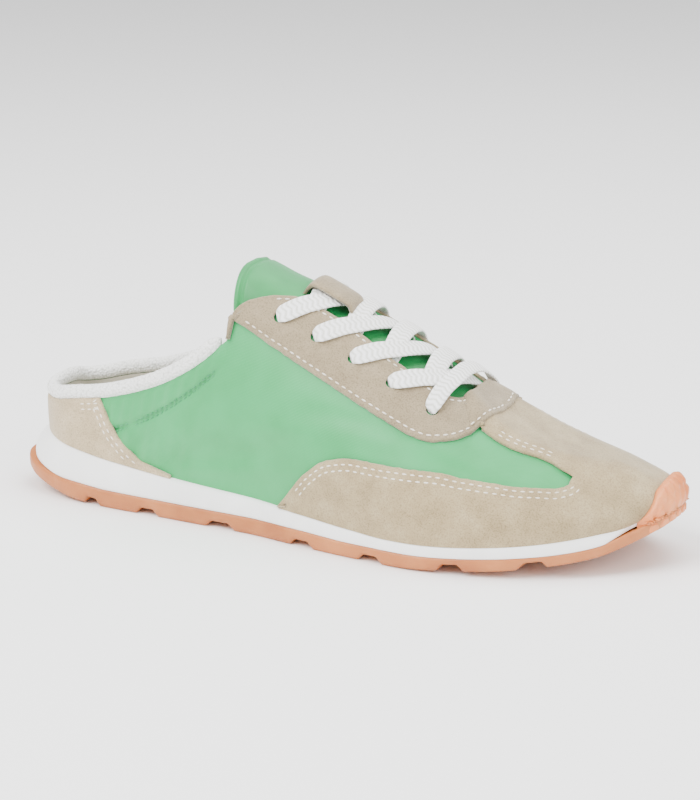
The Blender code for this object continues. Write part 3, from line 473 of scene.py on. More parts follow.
@dataclass(frozen=True)
class Finish:
    """Base of the finishes: a principled surface with colour patches and a bump.

    Args:
        name: the material's name.
        slot: the record's material slot; not used.
        colour, dark, light: sRGB hex values of the middle, the shaded and the lit patches.
        roughness: of the whole surface.
        sheen: weight of the fuzz's sheen.
        bump_mm: depth of the relief.
    """

    name: str
    slot: str
    colour: str
    dark: str
    light: str
    roughness: float
    sheen: float = 0.0
    bump_mm: float = 0.1

    def material(self) -> bpy.types.Material:
        """The material, made once."""
        known = bpy.data.materials.get(self.name)
        if known:
            return known
        made = bpy.data.materials.new(self.name)
        made.use_nodes = True
        tree = made.node_tree
        shader = tree.nodes["Principled BSDF"]
        shader.inputs["Base Color"].default_value = linear(self.colour)
        shader.inputs["Roughness"].default_value = self.roughness
        shader.inputs["Sheen Weight"].default_value = self.sheen
        shader.inputs["Sheen Roughness"].default_value = 0.5
        coords = add_node(tree, "ShaderNodeTexCoord")
        colour, height = self.pattern(tree, coords)
        tree.links.new(colour, shader.inputs["Base Color"])
        bump = add_node(tree, "ShaderNodeBump", {"Height": height, "Distance": self.bump_mm * MM})
        tree.links.new(bump.outputs["Normal"], shader.inputs["Normal"])
        self.refine(tree, shader, coords)
        return made

    def noise(self, tree: bpy.types.NodeTree, place: bpy.types.NodeSocket, grain_mm: float,
              detail: float = 2.0) -> bpy.types.NodeSocket:
        """Noise with grains of a real size."""
        node = add_node(tree, "ShaderNodeTexNoise", {"Vector": place, "Scale": 1 / (grain_mm * MM),
                                                     "Detail": detail})
        return node.outputs["Fac"]

    def ramp(self, tree: bpy.types.NodeTree, value: bpy.types.NodeSocket,
             stops: Sequence[tuple[float, str]]) -> bpy.types.NodeSocket:
        """Colour ramp of hex values."""
        node = add_node(tree, "ShaderNodeValToRGB", {"Fac": value})
        elements = node.color_ramp.elements
        elements[0].position, elements[0].color = stops[0][0], linear(stops[0][1])
        elements[1].position, elements[1].color = stops[-1][0], linear(stops[-1][1])
        for place, colour in stops[1:-1]:
            element = elements.new(place)
            element.color = linear(colour)
        return node.outputs["Color"]

    def mix(self, tree: bpy.types.NodeTree, share: object, first: object, second: object,
            blend: str = "MIX") -> bpy.types.NodeSocket:
        """Mix of two colours."""
        node = add_node(tree, "ShaderNodeMix", {0: share, 6: first, 7: second}, data_type="RGBA",
                        blend_type=blend)
        return node.outputs[2]

    def sum(self, tree: bpy.types.NodeTree, parts: Sequence[tuple[bpy.types.NodeSocket, float]],
            ) -> bpy.types.NodeSocket:
        """Weighted sum of values."""
        total = None
        for value, weight in parts:
            scaled = add_node(tree, "ShaderNodeMath", {0: value, 1: weight}, operation="MULTIPLY").outputs[0]
            total = scaled if total is None else add_node(
                tree, "ShaderNodeMath", {0: total, 1: scaled}, operation="ADD").outputs[0]
        return total

    def pattern(self, tree: bpy.types.NodeTree, coords: bpy.types.Node,
                ) -> tuple[bpy.types.NodeSocket, bpy.types.NodeSocket]:
        """Colour and height of a plain grained surface."""
        place = coords.outputs["Object"]
        fine, broad = self.noise(tree, place, 0.6), self.noise(tree, place, 18.0)
        colour = self.ramp(tree, broad, ((0.3, self.dark), (0.5, self.colour), (0.7, self.light)))
        return colour, fine

    def refine(self, tree: bpy.types.NodeTree, shader: bpy.types.Node, coords: bpy.types.Node) -> None:
        """Further settings of a finish; none for a plain one."""


@dataclass(frozen=True)
class Suede(Finish):
    """Split leather with a short nap: matt, speckled, with patches where the nap lies another way."""

    speck_mm: float = 0.55
    patch_mm: float = 9.0

    def pattern(self, tree: bpy.types.NodeTree, coords: bpy.types.Node,
                ) -> tuple[bpy.types.NodeSocket, bpy.types.NodeSocket]:
        """Speckled nap over broad brushed patches."""
        place = coords.outputs["Object"]
        specks = self.noise(tree, place, self.speck_mm, 3.0)
        fibres = self.noise(tree, place, self.speck_mm * 2.6, 4.0)
        patches = self.noise(tree, place, self.patch_mm, 3.0)
        base = self.ramp(tree, patches, ((0.30, self.dark), (0.52, self.colour), (0.72, self.light)))
        grain = self.ramp(tree, specks, ((0.30, "#9c8f7c"), (0.52, "#f4f1ec"), (0.72, "#ffffff")))
        colour = self.mix(tree, 0.55, base, grain, "MULTIPLY")
        return colour, self.sum(tree, ((specks, 0.6), (fibres, 0.5), (patches, 0.4)))


@dataclass(frozen=True)
class SatinNylon(Finish):
    """Plain-weave nylon taffeta: smooth filament threads that give a soft satin light."""

    thread_mm: float = 0.55

    def pattern(self, tree: bpy.types.NodeTree, coords: bpy.types.Node,
                ) -> tuple[bpy.types.NodeSocket, bpy.types.NodeSocket]:
        """Threads both ways on the cloth's own map, drawn a little coarse so that they show."""
        cloth = coords.outputs["UV"]
        threads = []
        for direction in ("X", "Y"):
            wave = add_node(tree, "ShaderNodeTexWave",
                            {"Vector": cloth, "Scale": 0.3142 / (self.thread_mm * MM)},
                            wave_type="BANDS", bands_direction=direction)
            threads.append(wave.outputs["Fac"])
        weave = add_node(tree, "ShaderNodeMath", {0: threads[0], 1: threads[1]}, operation="MULTIPLY")
        soft = self.noise(tree, coords.outputs["Object"], 14.0, 2.0)
        base = self.ramp(tree, soft, ((0.35, self.dark), (0.5, self.colour), (0.68, self.light)))
        shade = self.ramp(tree, weave.outputs[0], ((0.0, "#e6ece8"), (1.0, "#ffffff")))
        return self.mix(tree, 0.5, base, shade, "MULTIPLY"), weave.outputs[0]

    def refine(self, tree: bpy.types.NodeTree, shader: bpy.types.Node, coords: bpy.types.Node) -> None:
        """Satin cloth scatters a soft second light."""
        shader.inputs["Specular IOR Level"].default_value = 0.35
        shader.inputs["Sheen Tint"].default_value = linear("#c8f5d8")


@dataclass(frozen=True)
class Terry(Finish):
    """Looped terry cloth: fully matt, small loops side by side."""

    loop_mm: float = 1.0

    def pattern(self, tree: bpy.types.NodeTree, coords: bpy.types.Node,
                ) -> tuple[bpy.types.NodeSocket, bpy.types.NodeSocket]:
        """Loops as small cells, with painted shade between the loops and a painted highlight on their tops."""
        place = coords.outputs["Object"]
        cells = add_node(tree, "ShaderNodeTexVoronoi", {"Vector": place, "Scale": 1 / (self.loop_mm * MM)})
        height = add_node(tree, "ShaderNodeMath", {0: 1.0, 1: cells.outputs["Distance"]},
                          operation="SUBTRACT")
        # Painted shade and highlight: colour runs from light on the loops' tops to dark in the gaps, following the
        # bump
        colour = self.ramp(tree, cells.outputs["Distance"], ((0.0, self.light), (0.5, self.colour),
                                                             (1.0, self.dark)))
        return colour, height.outputs[0]


@dataclass(frozen=True)
class Rubber(Finish):
    """Moulded gum rubber: slightly translucent amber, satin, with a mould's fine grain."""

    grain_mm: float = 0.8

    def pattern(self, tree: bpy.types.NodeTree, coords: bpy.types.Node,
                ) -> tuple[bpy.types.NodeSocket, bpy.types.NodeSocket]:
        """Cloudy colour and fine grain."""
        place = coords.outputs["Object"]
        clouds, grain = self.noise(tree, place, 16.0, 3.0), self.noise(tree, place, self.grain_mm, 2.0)
        colour = self.ramp(tree, clouds, ((0.32, self.dark), (0.5, self.colour), (0.7, self.light)))
        return colour, grain

    def refine(self, tree: bpy.types.NodeTree, shader: bpy.types.Node, coords: bpy.types.Node) -> None:
        """Light goes a little way into the rubber."""
        shader.inputs["Subsurface Weight"].default_value = 0.15
        shader.inputs["Subsurface Radius"].default_value = (1.0, 0.4, 0.15)
        shader.inputs["Subsurface Scale"].default_value = 0.0015
        shader.inputs["IOR"].default_value = 1.52


@dataclass(frozen=True)
class Braid(Finish):
    """Flat cotton braid: two diagonal sets of yarns that make a herringbone."""

    yarn_mm: float = 1.1

    def pattern(self, tree: bpy.types.NodeTree, coords: bpy.types.Node,
                ) -> tuple[bpy.types.NodeSocket, bpy.types.NodeSocket]:
        """Chevrons on the lace's own map, along U and across V, both in metres; the colour carries painted shade in
        the grooves and a painted highlight on the yarns' crowns.
        """
        parts = add_node(tree, "ShaderNodeSeparateXYZ", {0: coords.outputs["UV"]})
        wide = 2 * math.pi / (4 * self.yarn_mm * MM)
        across = add_node(tree, "ShaderNodeMath", {0: parts.outputs["Y"], 1: wide}, operation="MULTIPLY")
        zigzag = add_node(tree, "ShaderNodeMath", {0: across.outputs[0], 1: math.pi}, operation="PINGPONG")
        along = add_node(tree, "ShaderNodeMath", {0: parts.outputs["X"], 1: 2 * wide}, operation="MULTIPLY")
        phase = add_node(tree, "ShaderNodeMath", {0: along.outputs[0], 1: zigzag.outputs[0]},
                         operation="ADD")
        yarns = add_node(tree, "ShaderNodeMath", {0: phase.outputs[0]}, operation="SINE")
        height = add_node(tree, "ShaderNodeMapRange", {"Value": yarns.outputs[0], "From Min": -1.0})
        fuzz = self.noise(tree, coords.outputs["Object"], 0.5, 2.0)
        total = self.sum(tree, ((height.outputs[0], 0.8), (fuzz, 0.4)))
        # Colour follows the relief: painted shade in the grooves and a painted highlight on the yarns' crowns, over
        # random fuzz tone
        colour = self.ramp(tree, total, ((0.15, self.dark), (0.5, self.colour), (0.9, self.light)))
        return colour, total


NYLON = SatinNylon("green_satin_nylon", "green_nylon", "#2ea25c", "#2b9e58", "#31a660", 0.36, 0.35, 0.05)
# Tongue: a darker copy of the same green nylon, painted shade for the tongue lying low between the eyestays under
# the laces
SHADED_TONGUE_NYLON = SatinNylon("green_tongue_nylon_painted_shade", "green_nylon", "#24904c", "#218a48", "#289851", 0.38, 0.3, 0.05)
TAUPE_SUEDE = Suede("taupe_suede", "suede_taupe", "#998a6e", "#8e7f64", "#a39479", 0.95, 0.35, 0.28)
SAND_SUEDE = Suede("sand_suede", "suede_sand", "#aa9873", "#9d8b67", "#b5a480", 0.95, 0.35, 0.28)
PALE_SUEDE = Suede("pale_suede", "suede_pale", "#bdaa88", "#b19e7c", "#c8b694", 0.95, 0.35, 0.28)
# Terry's dark and light are painted shade in the gaps and a painted highlight on the loop tops
TERRY = Terry("white_terry", "terry_white", "#f3f3ef", "#cfcfca", "#ffffff", 0.95, 0.3, 0.5)
FOAM = Finish("moulded_foam", "foam_white", "#f6f6f4", "#f1f1ef", "#fbfbfa", 0.62, 0.0, 0.05)
GUM = Rubber("gum_rubber_side", "gum_rubber", "#b46b35", "#a8602d", "#c0773f", 0.48, 0.0, 0.10)
# Toe lip: a lighter copy of the same gum rubber, painted light on the lip that wraps up over the toe
LIT_GUM_LIP = Rubber("gum_rubber_lip_painted_light", "gum_rubber", "#dc8045", "#d0763d", "#e68f55", 0.45, 0.0, 0.10)
# The lace's dark and light are painted shade and a painted highlight on the yarns
COTTON = Braid("cotton_braid", "cotton_lace", "#f4f4f0", "#d3d3cc", "#ffffff", 0.9, 0.25, 0.35)
LINING = Finish("brushed_lining", "insole_textile", "#bcb6a4", "#b0aa98", "#c8c2b2", 0.95, 0.3, 0.2)
THREAD = Finish("sewing_thread", "cotton_lace", "#e7dfd0", "#d9cfbd", "#f1ebe0", 0.7, 0.1, 0.05)
GREEN_THREAD = Finish("green_thread", "green_nylon", "#2f8f5a", "#2a8452", "#389c65", 0.6, 0.1, 0.05)


# The shoe's own axes start at the heel; the frame's start in the middle of its floor area
ORIGIN = Vector((-132.935 * MM, -1.453 * MM, 0.0))


@dataclass
class Piece:
    """A mesh on its way to being one of the shoe's pieces, in the shoe's own axes.

    Args:
        name: the piece's name.
        finish: what it is made of.
        stands_for: nodes of the frame that it replaces.
    """

    name: str
    finish: Finish
    stands_for: tuple[str, ...] = ()
    bm: bmesh.types.BMesh = field(default_factory=bmesh.new)

    def add_grid(self, points: np.ndarray, cloth: np.ndarray | None = None) -> None:
        """Add a grid with a vertex at each point.

        Args:
            points: columns by rows by 3; faces look along column direction cross row direction.
            cloth: columns by rows by 2, places on the cloth's map in metres.
        """
        columns, rows = points.shape[:2]
        layer = self.bm.loops.layers.uv.verify()
        before = len(self.bm.faces)
        made = bmesh.ops.create_grid(self.bm, x_segments=columns - 1, y_segments=rows - 1, size=1.0)
        places = {}
        for vert in made["verts"]:
            column, row = round((vert.co.x + 1) / 2 * (columns - 1)), round((vert.co.y + 1) / 2 * (rows - 1))
            places[vert] = (column, row)
            vert.co = points[column, row]
        if cloth is not None:
            self.bm.faces.ensure_lookup_table()
            for face in self.bm.faces[before:]:
                for loop in face.loops:
                    loop[layer].uv = cloth[places[loop.vert]]

    def add_stitch(self, middle: np.ndarray, along: np.ndarray, up: np.ndarray, length: float,
                   radius: float) -> None:
        """Add one stitch as a small capsule."""
        side = np.cross(up, along)
        axes = Matrix([list(axis) for axis in (along * length / 2, side * radius, up * radius)]).transposed()
        bmesh.ops.create_uvsphere(self.bm, u_segments=6, v_segments=4, radius=1.0,
                                  matrix=Matrix.Translation(middle) @ axes.to_4x4())

    def place(self, wall: float = 0.0, levels: int = 0, weld: bool = True,
              outward: bool = False) -> bpy.types.Object:
        """Weld the mesh and set it on the frame.

        Args:
            wall: thickness that is added below the surface.
            levels: levels of subdivision.
            weld: whether doubled points are merged.
            outward: whether normals are worked out anew, for a closed form.

        Returns:
            The finished piece.
        """
        if weld:
            bmesh.ops.remove_doubles(self.bm, verts=self.bm.verts, dist=WELD)
            bmesh.ops.dissolve_degenerate(self.bm, edges=self.bm.edges, dist=WELD)
        if outward:
            bmesh.ops.recalc_face_normals(self.bm, faces=self.bm.faces)
        bmesh.ops.translate(self.bm, verts=self.bm.verts, vec=ORIGIN)
        mesh = bpy.data.meshes.new(self.name)
        self.bm.to_mesh(mesh)
        self.bm.free()
        mesh.shade_smooth()
        mesh.materials.append(self.finish.material())
        made = bpy.data.objects.new(self.name, mesh)
        bpy.context.scene.collection.objects.link(made)
        if wall:
            step = made.modifiers.new("wall", "SOLIDIFY")
            step.thickness, step.offset, step.use_even_offset = wall, -1.0, False
        if levels:
            step = made.modifiers.new("smooth", "SUBSURF")
            step.levels = step.render_levels = levels
        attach(made, "root")
        if self.stands_for:
            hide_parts(*self.stands_for)
        LOG.info("%s: %d faces of %s", self.name, len(mesh.polygons), self.finish.name)
        return made


def gauss(distance: np.ndarray | float, width: float) -> np.ndarray | float:
    """Bell curve of height 1."""
    return np.exp(-((distance / width) ** 2))


def ramp(value: np.ndarray | float, start: float, end: float) -> np.ndarray | float:
    """Smooth step from 0 at start to 1 at end."""
    share = np.clip((value - start) / (end - start), 0, 1)
    return share * share * (3 - 2 * share)


def steepness(edge: Edge, turn: float) -> float:
    """How much longer a way up the last is than the way square to an edge."""
    step = LAST.turn_step
    rise = (edge(turn + step) - edge(turn - step)) / (2 * step)
    along, _ = LAST.tangents(turn, np.array([edge(turn)]))
    return min(math.hypot(1.0, rise / float(np.linalg.norm(along[0]))), 2.5)


def girth(turns: np.ndarray) -> np.ndarray:
    """Running length round the sole at turns."""
    plan = LAST.outline(turns)
    return np.concatenate([[0], np.cumsum(np.linalg.norm(np.diff(plan, axis=0), axis=1))])


@dataclass(frozen=True)
class Fold:
    """Soft ridge (or trough, where its height is negative) placed on the quarter.

    Args:
        station: middle along the sole, as a share of its length.
        climb_mm: middle up the last.
        heading: degrees from forward towards up.
        length_mm, width_mm, height_mm: sizes of the ridge.
    """

    station: float
    climb_mm: float
    heading: float
    length_mm: float
    width_mm: float
    height_mm: float

    def height(self, x: float, climbs: np.ndarray) -> np.ndarray:
        """Height of the fold at a place along X and climbs."""
        forward, up = x - self.station * SOLE_LENGTH, climbs - self.climb_mm * MM
        angle = math.radians(self.heading)
        run = forward * math.cos(angle) + up * math.sin(angle)
        across = up * math.cos(angle) - forward * math.sin(angle)
        shape = gauss(run, self.length_mm * MM) * gauss(across, self.width_mm * MM)
        return self.height_mm * MM * shape


# Folds of the outer quarter as the photograph shows them
OUTER_FOLDS = (
    Fold(0.30, 22, 38, 30, 6.0, 0.9), Fold(0.34, 17, 36, 28, 3.5, -0.7), Fold(0.38, 28, 30, 34, 7.0, 0.8),
    Fold(0.42, 20, 24, 30, 4.0, -0.6), Fold(0.46, 30, 16, 32, 6.0, 0.7), Fold(0.52, 38, 8, 24, 4.5, -0.5),
    Fold(0.25, 12, 50, 16, 3.0, 0.8), Fold(0.22, 9, 62, 12, 1.8, -0.7), Fold(0.28, 8, 55, 14, 2.2, -0.6),
    Fold(0.205, 14, 70, 10, 2.0, 0.7), Fold(0.36, 8, 12, 26, 3.0, 0.6), Fold(0.66, 36, -6, 22, 4.0, 0.5),
    Fold(0.72, 31, -14, 18, 2.5, -0.4), Fold(0.60, 40, -2, 20, 3.0, -0.4),
)
# Quieter folds of the inner quarter, which the photograph hides
INNER_FOLDS = (
    Fold(0.28, 20, 40, 26, 6.0, 0.8), Fold(0.33, 16, 34, 26, 4.0, -0.6), Fold(0.41, 26, 26, 30, 6.0, 0.7),
    Fold(0.47, 24, 15, 28, 4.0, -0.5), Fold(0.24, 10, 58, 12, 2.4, 0.7), Fold(0.62, 36, 0, 24, 4.0, 0.5),
    Fold(0.70, 32, -10, 20, 3.0, -0.4),
)


@dataclass
class Quarter:
    """Nylon shell of the upper with its gathered collar band, and the lining in it."""

    columns: int = 481
    rows: int = 60
    band_rear: float = 15.0 * MM
    band_front: float = 9.0 * MM
    seam_depth: float = 0.8 * MM
    puff: float = 0.9 * MM
    gathers: tuple[float, ...] = (0.150, 0.166, 0.188, 0.207, 0.222, 0.243, 0.262, 0.288, 0.312, 0.338)
    gather_width: float = 1.9 * MM
    gather_depth: float = 0.9 * MM
    hem_drop: float = 0.8 * MM
    lining_lift: float = -1.6 * MM
    lining_wall: float = 0.35 * MM

    def band(self, station: float) -> float:
        """Width of the gathered band under the collar."""
        return self.band_rear + (self.band_front - self.band_rear) * float(ramp(station, 0.12, 0.35))

    def relief(self, turn: float, climbs: np.ndarray) -> np.ndarray:
        """Heights of folds, gathers and seam over the last at one turn."""
        x = float(LAST.outline(turn)[0])
        station = x / SOLE_LENGTH
        outer = turn <= math.pi
        lifts = np.zeros(len(climbs))
        for fold in OUTER_FOLDS if outer else INNER_FOLDS:
            lifts += fold.height(x, climbs)
        gap = LAST.opening_climb(turn) - climbs
        if station < CORNER_STATION:
            band = self.band(station)
            hold = 1 - float(ramp(station, 0.34, CORNER_STATION))
            inside = ramp(band - gap, 0.0, 0.35 * band) * ramp(gap, 0.0, 0.3 * band)
            lifts += hold * self.puff * inside
            for place in self.gathers:
                lean = 0.25 * (gap - band / 2)
                crease = gauss(x - place * SOLE_LENGTH + lean, self.gather_width)
                lifts -= hold * self.gather_depth * crease * (0.25 + 0.75 * inside)
                pucker = gauss(x - place * SOLE_LENGTH + lean, 1.6 * self.gather_width)
                lifts += hold * 0.5 * self.gather_depth * pucker * gauss(gap - 1.35 * band, 0.3 * band)
            lifts -= hold * self.seam_depth * gauss(gap - band, 1.2 * MM)
        rim = ramp(gap, 0.0, 3.0 * MM) * ramp(climbs, 0.0, 4.0 * MM)
        return lifts * rim

    def build(self) -> bpy.types.Object:
        """The nylon shell."""
        shell = Piece("quarter_nylon", NYLON, ("upper",))
        turns = np.linspace(0, FULL_TURN, self.columns)
        lengths = girth(turns)
        points = np.empty((self.columns, self.rows + 1, 3))
        cloth = np.empty((self.columns, self.rows + 1, 2))
        for i, turn in enumerate(turns):
            climbs = np.linspace(0, LAST.opening_climb(turn), self.rows)
            points[i, 1:] = LAST.points(turn, climbs, self.relief(turn, climbs))
            points[i, 0] = points[i, 1] - (0, 0, self.hem_drop)
            cloth[i, 1:] = np.column_stack([np.full(self.rows, lengths[i]), climbs])
            cloth[i, 0] = (lengths[i], -self.hem_drop)
        shell.add_grid(points, cloth)
        return shell.place(wall=NYLON_THICK)

    def line(self) -> bpy.types.Object:
        """The lining inside."""
        lining = Piece("quarter_lining", LINING)
        turns = np.linspace(0, FULL_TURN, 241)
        rows = 20
        points = np.empty((len(turns), rows, 3))
        for i, turn in enumerate(turns):
            climbs = np.linspace(0, LAST.opening_climb(turn) - 0.6 * MM, rows)
            points[i] = LAST.points(turn, climbs, self.lining_lift)
        lining.add_grid(points)
        return lining.place(wall=self.lining_wall)

    def sew_collar(self) -> bpy.types.Object:
        """Two rows of green stitches along the band's seam, on both sides."""
        rows = Piece("collar_seam_stitches", GREEN_THREAD)
        for side in Side:
            ends = sorted((LAST.turn_at(0.13, side), LAST.turn_at(0.35, side)))
            for shift in (-0.8 * MM, 0.9 * MM):
                def seam(turn: float, shift: float = shift) -> float:
                    """Climb of one row."""
                    return LAST.opening_climb(turn) - self.band(LAST.station_of(turn)) + shift
                sew(rows, ends, seam, 0.0, -0.25 * MM, pitch=2.6 * MM, length=2.0 * MM, radius=0.3 * MM)
        return rows.place(weld=False)


def sew(rows: Piece, ends: Sequence[float], edge: Edge, distance: float, lift: float, pitch: float = 3.1 * MM,
        length: float = 2.2 * MM, radius: float = 0.36 * MM, samples: int = 260) -> None:
    """Sew a row of stitches at a distance from an edge of a panel.

    Args:
        rows: piece that the stitches are added to.
        ends: turns between which the row runs.
        edge: climb of the edge by turn.
        distance: square to the edge, positive up the last.
        lift: height of the stitches over the last.
        pitch, length, radius: sizes of the stitches.
        samples: points at which the row is worked out.
    """
    turns = np.linspace(ends[0], ends[1], samples)
    step = LAST.turn_step
    path, ups = [], []
    for turn in turns:
        climb = edge(turn)
        rise = (edge(turn + step) - edge(turn - step)) / (2 * step)
        along, up = (axis[0] for axis in LAST.tangents(turn, np.array([climb])))
        e, f, g = along @ along, along @ up, up @ up
        away = np.array([-(f + g * rise), e + f * rise])
        size = math.sqrt(e * away[0] ** 2 + 2 * f * away[0] * away[1] + g * away[1] ** 2)
        beside = away / size * distance
        low, high = LAST.point(turn + beside[0], climb + beside[1], lift), LAST.point(
            turn + beside[0], climb + beside[1], lift + MM)
        path.append(low)
        ups.append((high - low) / MM)
    path, ups = np.array(path), np.array(ups)
    ways = np.concatenate([[0], np.cumsum(np.linalg.norm(np.diff(path, axis=0), axis=1))])
    count = max(int(ways[-1] / pitch), 1)
    for k in range(count):
        here = (k + 0.5) * ways[-1] / count
        spots = [np.array([np.interp(here + shift, ways, path[:, axis]) for axis in range(3)])
                 for shift in (-length / 2, 0.0, length / 2)]
        up = np.array([np.interp(here, ways, ups[:, axis]) for axis in range(3)])
        along = spots[2] - spots[0]
        if np.linalg.norm(along) < 0.2 * length:
            continue
        along /= np.linalg.norm(along)
        up -= (up @ along) * along
        rows.add_stitch(spots[1], along, up / np.linalg.norm(up), length, radius)


@dataclass
class Panel:
    """Suede panel on the last between a low and a high edge, with rounded cut edges and sunk stitch lines.

    Args:
        low, high: climbs of the edges by turn.
        low_roll, high_roll: how far each edge rolls down, 0 to 1, by turn.
        channel: distance of the stitch line from an edge, 0 for none.
        base: height of the suede's underside over the last, by turn.
        tucked: whether the low edge goes down to the sole.
    """

    low: Edge
    high: Edge
    low_roll: Edge = lambda turn: 1.0
    high_roll: Edge = lambda turn: 1.0
    low_channel: float = 2.2 * MM
    high_channel: float = 2.2 * MM
    base: Edge = lambda turn: SUEDE_SEAT
    tucked: bool = False
    middle_rows: int = 14
    offsets: tuple[float, ...] = (0.0, 0.12, 0.4, 0.9, 1.5, 2.2, 2.9, 3.8)
    drops: tuple[float, ...] = (1.35, 0.75, 0.30, 0.06, 0.0, 0.0, 0.0, 0.0)
    sunk: float = 0.28 * MM
    ragged: float = 0.16 * MM

    def net(self, turns: np.ndarray) -> np.ndarray:
        """Points of the panel.

        Args:
            turns: turns of its columns.

        Returns:
            Columns by rows by 3.
        """
        wobble = np.random.default_rng(7).normal(0.0, 1.0, len(turns))
        wobble = np.convolve(wobble, (0.25, 0.5, 0.25), mode="same") * self.ragged
        offsets, drops = np.array(self.offsets) * MM, np.array(self.drops) * MM
        columns = []
        for i, turn in enumerate(turns):
            low, high = self.low(turn), self.high(turn)
            width = max(high - low, 0.05 * MM)
            fit = min(1.0, width / (2.4 * offsets[-1]))
            feet = offsets * fit * min(steepness(self.low, turn), 1 / max(fit, 0.4))
            tops = offsets * fit * min(steepness(self.high, turn), 1 / max(fit, 0.4))
            share = np.linspace(0, 1, self.middle_rows + 2)[1:-1]
            start, end = low + feet[-1], high - tops[-1]
            rise = wobble[i] * fit
            climbs = np.concatenate([low + feet + rise * self.low_roll(turn), start + (end - start) * share,
                                     (high - tops + rise * self.high_roll(turn))[::-1]])
            if self.tucked:
                climbs = np.maximum(climbs, 0.0)
            top = self.base(turn) + SUEDE_THICK
            low_drop = drops * self.low_roll(turn) + self.sink(offsets, self.low_channel)
            high_drop = drops * self.high_roll(turn) + self.sink(offsets, self.high_channel)
            lifts = top - np.concatenate([low_drop, np.zeros(self.middle_rows), high_drop[::-1]])
            column = LAST.points(turn, climbs, lifts)
            if self.tucked:
                hem = LAST.point(turn, 0.0, 0.4 * MM) - (0, 0, 0.7 * MM)
                column = np.vstack([hem, column])
            columns.append(column)
        return np.array(columns)

    def sink(self, offsets: np.ndarray, channel: float) -> np.ndarray:
        """How far the stitch line draws the suede down at distances from the edge."""
        return self.sunk * gauss(offsets - channel, 0.6 * MM) if channel else np.zeros(len(offsets))


@dataclass
class SuedeWork:
    """Eyestay, toe guard and heel counter, with their stitches."""

    columns: int = 420
    front_lift: float = 0.95 * MM
    stitch_lift: float = SUEDE_TOP - 0.12 * MM
    row_gap: float = 2.2 * MM
    second_row: float = 4.4 * MM
    lap: float = 3.0 * MM

    def spaced(self, first: float, last: float, count: int, extra: Sequence[float] = ()) -> np.ndarray:
        """Turns spaced evenly along the sole's girth, with extra ones in place of their nearest."""
        dense = np.linspace(first, last, 1500)
        lengths = girth(dense)
        turns = np.interp(np.linspace(0, lengths[-1], count), lengths, dense)
        for turn in extra:
            turns[np.argmin(abs(turns - turn))] = turn
        return turns

    def eyestay_base(self, turn: float) -> float:
        """The eyestay lies over the toe strap in front."""
        return SUEDE_SEAT + self.front_lift * float(ramp(LAST.station_of(turn), 0.77, 0.83))

    def eyestay(self) -> bpy.types.Object:
        """The eyestay with its eyelets."""
        piece = Piece("eyestay_suede", TAUPE_SUEDE, ("eyestay",))
        turns = self.spaced(LAST.turn_at(CORNER_STATION), LAST.turn_at(CORNER_STATION, Side.INNER), self.columns)
        panel = Panel(LAST.eyestay_climb, LAST.opening_climb, base=self.eyestay_base, middle_rows=20)
        piece.add_grid(panel.net(turns))
        for row in range(EYELET_ROWS):
            for side in Side:
                x, across = LAST.eyelet_place(row, side)
                centre, normal = LAST.over_throat(x, across, SUEDE_TOP)
                punch(piece.bm, Vector(centre), Vector(normal), EYELET_RADIUS)
        return piece.place(wall=0.9 * MM)

    def toe_guard(self) -> bpy.types.Object:
        """Wings along the sole and the strap over the toes, in one piece."""
        piece = Piece("toe_guard_suede", SAND_SUEDE, ("toe_guard",))
        tips = [LAST.turn_at(WINDOW_TIP, side) for side in Side]
        start, end = LAST.turn_at(STRAP_START), LAST.turn_at(STRAP_START, Side.INNER)
        turns = self.spaced(LAST.turn_at(WING_START), LAST.turn_at(WING_START, Side.INNER), self.columns,
                            (*tips, start, end))

        def parted(turn: float) -> float:
            """How far the two edges of the window stand apart, 0 in front of its tip."""
            return 1 - float(ramp(LAST.station_of(turn), WINDOW_TIP - 0.006, WINDOW_TIP))

        wing = Panel(lambda turn: 0.0, LAST.wing_climb, low_roll=lambda turn: 0.0, high_roll=parted,
                     low_channel=0.0, high_channel=0.0, tucked=True, middle_rows=20)
        strap = Panel(LAST.strap_climb, lambda turn: max(LAST.eyestay_climb(turn) + self.lap,
                                                         LAST.strap_climb(turn) + SEAT),
                      low_roll=parted, high_roll=lambda turn: 0.6, low_channel=0.0, high_channel=0.0,
                      middle_rows=22)
        piece.add_grid(wing.net(turns))
        inner = turns[(turns >= start - 1e-9) & (turns <= end + 1e-9)]
        piece.add_grid(strap.net(inner))
        return piece.place(wall=0.9 * MM)

    def heel_counter(self) -> bpy.types.Object:
        """The counter round the heel."""
        piece = Piece("heel_counter_suede", PALE_SUEDE, ("heel_counter",))
        end = LAST.turn_at(COUNTER_START)
        panel = Panel(lambda turn: 0.0, LAST.counter_climb, low_roll=lambda turn: 0.0, low_channel=0.0,
                      high_channel=0.0, tucked=True, drops=(1.5, 1.0, 0.45, 0.1, 0.0, 0.0, 0.0, 0.0))
        piece.add_grid(panel.net(self.spaced(-end, end, 240)))
        return piece.place(wall=0.9 * MM)

    def stitches(self) -> bpy.types.Object:
        """All the pale stitches."""
        rows = Piece("suede_stitches", THREAD)
        for side in Side:
            def span(start: float, end: float, side: Side = side) -> list[float]:
                """Turns of two stations on this side."""
                return sorted((LAST.turn_at(start, side), LAST.turn_at(end, side)))
            sew(rows, span(0.385, 0.79), LAST.eyestay_climb, self.row_gap, self.stitch_lift)
            sew(rows, span(0.79, 0.995), LAST.eyestay_climb, self.row_gap, self.stitch_lift + self.front_lift)
            sew(rows, span(0.42, 0.78), LAST.opening_climb, -self.row_gap, self.stitch_lift)
            for gap, counter_end in ((self.row_gap, 0.222), (self.second_row, 0.208)):
                sew(rows, span(0.487, 0.915), LAST.wing_climb, -gap, self.stitch_lift)
                sew(rows, span(0.835, 0.915), LAST.strap_climb, gap, self.stitch_lift)
                sew(rows, span(0.118, counter_end), LAST.counter_climb, -gap, self.stitch_lift)
        return rows.place(weld=False)


